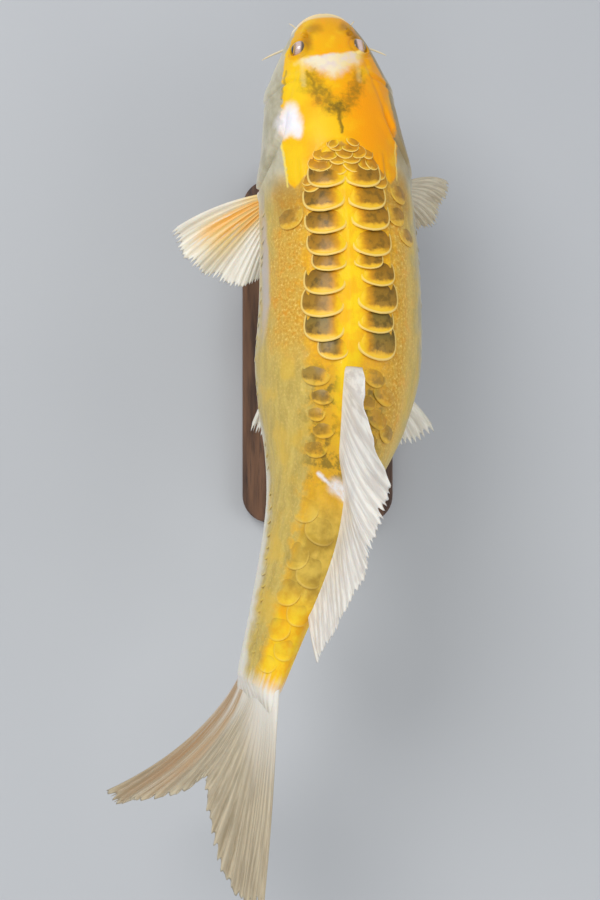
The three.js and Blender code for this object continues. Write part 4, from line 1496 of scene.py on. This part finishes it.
SHOULDER = [(133, -39, 22, 22), (121, 41, 20, 18), (135, 36, 20, 18), (147, 47, 18, 20)]
# the flank row's pitch is in millimetres, and missing is the share of its scales left out
FLANK_ROW = {"from": 124, "to": 416, "pitch": 8.2, "missing": 0.14}


def jitter(chance, reach):
    return reach * (2 * chance.random() - 1)


def row_plates():
    """The scales of the back, as dictionaries."""
    plates = []
    for word, side in SIDES.items():
        for along, around, long, wide in BACK_ROW[word]:
            plates.append({"along": along, "around": side * (around - 1), "long": long, "wide": wide + 2})
    return plates


def nape_plates(chance):
    """Small odd scales that fan out between the skull and the first full pair."""
    plates = []
    for along, count, size in NAPE_ROWS:
        reach = 3.7 * count
        for place in np.linspace(-reach, reach, count):
            bowed = along + 11 * (place / 23) ** 2 + jitter(chance, 0.8)
            plates.append({
                "along": bowed, "around": place + 1 + jitter(chance, 1.0), "long": size + jitter(chance, 1),
                "wide": size + 1 + jitter(chance, 1.6), "yaw": jitter(chance, 30),
            })
    return plates


def flank_plates(chance):
    """A loose row of small scales along each flank, over the lateral line."""
    plates = []
    for side in SIDES.values():
        for along in np.arange(FLANK_ROW["from"], FLANK_ROW["to"], FLANK_ROW["pitch"]):
            along = along + jitter(chance, 1.2)
            if chance.random() < FLANK_ROW["missing"]:
                continue
            turns = np.radians(np.arange(40, 140))
            _, up = section(np.full_like(turns, along), turns)
            turn = float(np.interp(-lateral_line(along), -up, turns))
            around = float(np.interp(turn, ANGLES, GIRTH[int(along)]))
            size = 14 - 7 * along / BODY_LENGTH + jitter(chance, 1.5)
            plates.append({
                "along": along, "around": side * (around + jitter(chance, 1.2)),
                "long": 1.2 * size, "wide": size, "yaw": jitter(chance, 9),
            })
    return plates


# %% [markdown]
# Each scale starts as a sphere, which is pressed to a lens, given its fan-shaped outline, domed,
# tilted and laid on the body with the tape measure. The scales of a piece are joined in one mesh,
# and each has a patch of its own on the map for baking, at its own place round and along.

# %% Pressing a sphere into a scale
# the raised rim, as shares of the way from the middle of a scale to its edge
RIM = {"at": 0.925, "width": 0.06}


def plate_points(sphere, plate, shape):
    """Carries a unit sphere's points to the scale's place. Returns points and maps."""
    x, y, z = sphere.T
    rim = np.hypot(x, y)
    spin = np.arctan2(y, x)
    bulge = shape["square"]
    side_x = rim * np.sign(np.cos(spin)) * np.abs(np.cos(spin)) ** bulge
    side_y = rim * np.sign(np.sin(spin)) * np.abs(np.sin(spin)) ** bulge
    side = 1 if plate["around"] >= 0 else -1
    inner = np.clip(-side_x, 0, 1)
    taper = 1 - shape["taper"] * inner
    yaw = math.radians(plate.get("yaw", 0))
    east, south = side_x * plate["wide"] / 2, side_y * taper * plate["long"] / 2
    out = east * math.cos(yaw) - south * math.sin(yaw)
    back = east * math.sin(yaw) + south * math.cos(yaw)
    along = plate["along"] + back + shape["sweep"] * side_x
    around = plate["around"] + side * out
    tilt = shape["front"] + (shape["rear"] - shape["front"]) * (side_y + 1) / 2
    dome = shape["dome"] * (1 - rim**2)
    lip = shape["lip"] * ridge(rim - RIM["at"], RIM["width"]) * (z > 0)
    inner_sink = shape["inner_sink"] * step(inner, 0.55, 1.0)
    height = tilt + dome + lip - inner_sink + shape["thick"] / 2 * z
    turn = turn_at(along, around)
    nudge = 0.02
    across = body_point(along, turn + nudge) - body_point(along, turn - nudge)
    down = body_point(along + 0.5, turn) - body_point(along - 0.5, turn)
    normal = np.cross(down, across)
    normal /= np.linalg.norm(normal, axis=1, keepdims=True)
    points = body_point(along, turn) + normal * (height - COAT)[:, None]
    maps = {
        "Body": np.stack([around, along], -1) / 100,
        "Round": np.stack([turn / math.pi, along / BODY_LENGTH], -1),
        "Scale": np.stack([side_x, side_y], -1),
        "Rim": np.stack([rim, np.full_like(rim, plate.get("tone", 0.5))], -1),
    }
    return points, maps


def scale_mesh(name, plates, shape, patch):
    """Joins the scales into one mesh. Each bakes to a patch of its own on the body's unwrap."""
    bm = bmesh.new()
    bmesh.ops.create_uvsphere(bm, u_segments=shape["round"], v_segments=shape["rings"], radius=1)
    blank = bpy.data.meshes.new("blank_scale")
    bm.to_mesh(blank)
    bm.clear()
    sphere = np.array([v.co[:] for v in blank.vertices])
    points, maps = [], {}
    low_along = min(p["along"] for p in plates)
    high_along = max(p["along"] for p in plates)
    reach = max(abs(p["around"]) for p in plates)
    for plate in plates:
        bm.from_mesh(blank)
        made, kept = plate_points(sphere, plate, shape)
        down = 2 * (plate["along"] - low_along) / (high_along - low_along) - 1
        middle = 0.5 + (0.49 - np.array(patch) / 2) * np.array([plate["around"] / reach, down])
        corner = kept["Scale"] * np.array([1 if plate["around"] >= 0 else -1, 1])
        kept["OFBake"] = middle + corner * np.array(patch) / 2
        points.append(made)
        for key, values in kept.items():
            maps.setdefault(key, []).append(values)
    bpy.data.meshes.remove(blank)
    mesh = bpy.data.meshes.new(name)
    bm.to_mesh(mesh)
    bm.free()
    mesh.vertices.foreach_set("co", (np.concatenate(points) * MM).astype(np.float32).ravel())
    fill_maps(mesh, {key: np.concatenate(values) for key, values in maps.items()})
    close(mesh, SCALE_GAP)
    return mesh


# %% [markdown]
# The plates of the back look like dark amber: olive where the eye sees deep into them, orange
# towards the ridge, and rimmed with cream skin. Rings of growth run round each from a point near
# its front. The small plates elsewhere take more of the colour of the skin they lie on, and the
# plain ones are darkened at the front with painted shade, where the plate before overlaps them.

# %% Scale materials
def scale_material(name, dark, rim_paint, rim_strength, glow, crevice_shade=0.0, odd=0.2, fade=0.0):
    """dark is how olive the middle is, glow how amber the rest, odd how unlike one another
    they are, crevice_shade how much painted shade darkens the front, and fade how clear the front is."""
    material, nodes = new_material(name, shade(190, 150, 50))
    where, _, along = tape_measure(nodes)
    paint = nodes.add("ShaderNodeGroup", node_tree=MARKINGS)
    on_scale = nodes.uv("Scale")
    outward, backward = nodes.split(wobbled(nodes, where, 0.35, 0.15, on_scale))
    rim, tone = nodes.split(nodes.uv("Rim"))
    fine = nodes.noise(where, 0.9, 3, 0.6)
    rear = nodes.smooth(along, 165, 210)
    deep = nodes.mix(rear, shade(138, 98, 18), shade(116, 104, 48))
    deep = nodes.mix(nodes.smooth(backward, -0.5, 0.6, 0.0, 0.55), deep, shade(184, 136, 44))
    mottled = nodes.smooth(nodes.noise(where, 0.22, 3), 0.45, 0.65, 0.0, 0.8)
    deep = nodes.mix(mottled, deep, shade(98, 78, 26))
    amber = nodes.mix(nodes.smooth(outward, -0.8, -0.4), LEMON, shade(236, 152, 26))
    amber = nodes.mix(glow, paint, amber)
    depth = nodes.times(nodes.smooth(outward, -0.72, -0.1), nodes.smooth(backward, 0.74, 0.5))
    depth = nodes.times(depth, nodes.smooth(fine, 0.2, 0.5, 0.82, 1.0))
    depth = nodes.times(depth, nodes.plus(dark - odd / 2, nodes.times(tone, odd)))
    depth = nodes.times(depth, nodes.smooth(backward, -1.0, -0.1, 1 - fade, 1.0))
    colour = nodes.mix(depth, amber, deep)
    # painted shade in the crevice at the front of each plate, where the plate before overlaps it
    if crevice_shade:
        front = nodes.smooth(backward, 0.1, -0.8, 0.0, crevice_shade)
        colour = nodes.mix(front, colour, shade(150, 112, 34))
    low_light = nodes.times(nodes.smooth(backward, 0.5, 0.8), 0.85 * dark)
    colour = nodes.mix(low_light, colour, shade(255, 208, 56))
    border = nodes.smooth(rim, 0.86, 0.915)
    border = nodes.times(border, nodes.smooth(outward, -1.1, -0.75), rim_strength)
    colour = nodes.mix(border, colour, rim_paint)
    focus = nodes.vector("LENGTH", nodes.vector("ADD", on_scale, (0, 0.5, 0)), out=1)
    rings = nodes.math("SINE", nodes.times(focus, 90.0))
    height = nodes.plus(nodes.times(rings, 0.05), nodes.times(fine, 0.5))
    finish_material(
        nodes,
        colour,
        Roughness=nodes.smooth(rim, 0.8, 0.92, 0.34, 0.42),
        Normal=nodes.bump(height, 0.3, 0.0006),
        Subsurface_Weight=0.1,
        Subsurface_Radius=(1.0, 0.6, 0.2),
        Subsurface_Scale=0.002,
        Specular_IOR_Level=0.2,
        Coat_Weight=0.1,
        Coat_Roughness=0.16,
    )
    return material


CREAM_RIM = shade(248, 212, 120)
MIRROR = scale_material("Mirror scales", 0.92, CREAM_RIM, 0.95, 0.6)
NAPE = scale_material("Nape scales", 0.48, shade(250, 214, 116), 0.95, 0.5)
SIDE = scale_material("Side scales", 0.45, shade(226, 186, 88), 0.35, 0.2, odd=0.7, fade=0.8)
PLAIN = scale_material("Plain scales", 0.12, shade(248, 216, 120), 0.2, 0.0, crevice_shade=0.45)

# %% [markdown]
# The kinds of scale differ in outline, dome and how far they stand off the skin. The flank row is
# sunk so deep that only thin overlapping edges show.

# %% Lay the scales
# square is below 1 for blunt corners. front and rear are how far each edge stands off the skin.
LARGE = {
    "square": 0.76, "round": 44, "rings": 22, "thick": 0.8, "front": -1.6, "rear": 1.7, "dome": 0.9,
    "lip": 0.55, "taper": 0.2, "sweep": -0.8, "inner_sink": 1.2,
}
SMALL = LARGE | {
    "square": 0.9, "round": 24, "rings": 14, "front": -1.5, "rear": 0.8, "dome": 0.35, "lip": 0.4,
    "inner_sink": 0.2, "sweep": 0,
}
PLATE = LARGE | {
    "square": 0.88, "round": 32, "rings": 16, "front": -1.7, "rear": 1.0, "dome": 0.6, "lip": 0.3,
    "taper": 0.1, "sweep": 0, "inner_sink": 0,
}
WRIST = PLATE | {"square": 0.8, "dome": 0.55, "rear": 0.85}
FLAT = PLATE | {"square": 0.8, "dome": 0.4, "rear": 0.6}
FLANK = SMALL | {
    "thick": 0.4, "round": 20, "rings": 10, "front": -1.3, "rear": 0.35, "dome": 0.25, "lip": 0.1,
}
chance = np.random.default_rng(7)


def toned(plates):
    """Gives each scale a tone of its own, so that no two are quite the same colour."""
    for plate in plates:
        plate["tone"] = chance.random()
    return plates


def listed(rows, yaw):
    """The scales of a list of places and sizes, each turned a little."""
    plates = []
    for row in rows:
        plate = dict(zip(("along", "around", "long", "wide"), row))
        plate["yaw"] = jitter(chance, yaw)
        plate["tone"] = chance.random()
        plates.append(plate)
    return plates


# name, scales, shape, size of a scale's patch on the map for baking, material
SCALE_PIECES = [
    ("back", toned(row_plates()), LARGE, (0.3, 0.064), MIRROR),
    ("nape", nape_plates(chance), SMALL, (0.05, 0.05), NAPE),
    ("beside_fin", listed(BESIDE_FIN, 14), PLATE, (0.2, 0.05), SIDE),
    ("wrist", listed(WRIST_PLATES, 20), WRIST, (0.3, 0.06), PLAIN),
    ("shoulder", listed(SHOULDER, 10), FLAT, (0.2, 0.3), SIDE),
    ("flank", flank_plates(chance), FLANK, (0.03, 0.016), PLAIN),
]
for word, plates, shape, patch, material in SCALE_PIECES:
    name = f"koi_scales_{word}"
    print(len(plates), "scales:", word)
    finish_piece(name, scale_mesh(name, plates, shape, patch), material)


# %% [markdown]
# ## The stand
# The base is a plate of dark wood with an oil finish, and the rods are brushed steel. Both are
# already the right shape in the frame, so they only get a material. The grain of wood is rings of
# a tree cut lengthwise: noise that is stretched far along the plank and bent a little.

# %% Stand materials
def wood_material():
    material, nodes = new_material("Walnut", shade(92, 62, 42))
    where = nodes.add("ShaderNodeTexCoord", out=3)
    plank = nodes.stretched(where, (1.0, 0.09, 1.0))
    bend = nodes.noise(plank, 14, 3, out=1)
    bent = nodes.vector("ADD", plank, nodes.stretched(bend, (0.02, 0.004, 0.01)))
    rings = nodes.noise(bent, 120, 4, 0.6)
    pores = nodes.noise(nodes.stretched(where, (1, 0.05, 1)), 900, 2)
    colour = nodes.mix(nodes.smooth(rings, 0.34, 0.66), shade(58, 36, 24), shade(112, 76, 50))
    colour = nodes.mix(nodes.smooth(pores, 0.6, 0.72, 0.0, 0.6), colour, shade(34, 22, 15))
    height = nodes.minus(rings, nodes.times(nodes.smooth(pores, 0.58, 0.7), 0.8))
    finish_material(
        nodes, colour, Roughness=nodes.smooth(rings, 0.3, 0.7, 0.36, 0.5),
        Normal=nodes.bump(height, 0.25, 0.0004), Coat_Weight=0.25, Coat_Roughness=0.25,
    )
    return material


def steel_material():
    material, nodes = new_material("Brushed steel", shade(190, 192, 194))
    where = nodes.add("ShaderNodeTexCoord", out=3)
    turned = nodes.noise(nodes.stretched(where, (40, 40, 5200)), 1.0, 2)
    smear = nodes.noise(where, 60, 3)
    colour = nodes.mix(nodes.smooth(turned, 0.3, 0.7), shade(186, 188, 190), shade(198, 200, 202))
    rough = nodes.plus(nodes.smooth(turned, 0.3, 0.7, 0.28, 0.34), nodes.times(smear, 0.1))
    finish_material(nodes, colour, Metallic=1.0, Roughness=rough, Normal=nodes.bump(turned, 0.05, 0.0001))
    return material


def paint_node(name, material):
    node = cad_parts[name]
    if not node.material_slots:
        node.data.materials.append(material)
    for slot in node.material_slots:
        slot.material = material


paint_node("stand_base", wood_material())
STEEL = steel_material()
for name in ("stand_rod_front", "stand_rod_rear"):
    paint_node(name, STEEL)
print("stand finished")

# %% [markdown]
# ## The studio
# A pale, plain floor shows the outline of a yellow fish well, and takes a soft shadow that says
# how high the fish stands. It is only a stage for the model, not a part of it.

# %% Floor
def floor_material():
    material, nodes = new_material("Studio floor", shade(206, 207, 208))
    where = nodes.add("ShaderNodeTexCoord", out=3)
    clouds = nodes.noise(where, 1.2, 3)
    colour = nodes.mix(nodes.smooth(clouds, 0.3, 0.7), shade(184, 186, 189), shade(192, 194, 196))
    finish_material(nodes, colour, Roughness=0.75)
    return material


bm = bmesh.new()
bmesh.ops.create_grid(bm, x_segments=1, y_segments=1, size=4)
floor_mesh = bpy.data.meshes.new("studio_floor")
bm.to_mesh(floor_mesh)
bm.free()
floor_mesh.materials.append(floor_material())
placed_object("studio_floor", floor_mesh)


# %% [markdown]
# The fish is looked down on from nearly straight above, and a little from its left. A broad disc
# lamp makes a soft highlight on wet skin, where a point would make a hard spark. One to the upper
# left gives the skin its long highlight, and two fainter ones open the shadows.

# %% Camera and lights
def aim(thing, place, target):
    """Puts a camera or lamp at a place and points it at the target, with +Y up in its view."""
    look = np.array(target) - np.array(place)
    look = look / np.linalg.norm(look)
    beside = np.cross(look, (0, 1, 0))
    beside = beside / np.linalg.norm(beside)
    upward = np.cross(beside, look)
    for row in range(3):
        values = (beside[row], upward[row], -look[row], place[row])
        thing.matrix_world[row] = values


CAMERA = {"place": (-0.094, -0.072, 1.047), "target": (-0.024, -0.072, 0.150), "view": 35.2}
camera_data = bpy.data.cameras.new("Camera")
camera = placed_object("Camera", camera_data)
aim(camera, CAMERA["place"], CAMERA["target"])
camera_data.sensor_fit = "VERTICAL"
camera_data.angle = math.radians(CAMERA["view"])
bpy.context.scene.camera = camera

# name, place, size of the lamp and power
LAMP_TARGET = (-0.02, -0.05, 0.15)
LAMPS = [
    ("Key", (-0.75, 0.75, 1.35), 0.9, 14),
    ("Fill", (1.1, -0.2, 1.0), 1.2, 4.5),
    ("Rim", (-0.2, -1.3, 0.9), 0.9, 4.5),
]
for name, place, size, power in LAMPS:
    data = bpy.data.lights.new(name, "AREA")
    data.shape = "DISK"
    data.size = size
    data.energy = power
    aim(placed_object(name, data), place, LAMP_TARGET)

world = bpy.data.worlds.new("Studio")
bpy.context.scene.world = world
world.use_nodes = True
world.node_tree.nodes["Background"].inputs["Color"].default_value = shade(236, 240, 246)
world.node_tree.nodes["Background"].inputs["Strength"].default_value = 0.55
bpy.context.scene.view_settings.view_transform = "Standard"
print("studio ready")
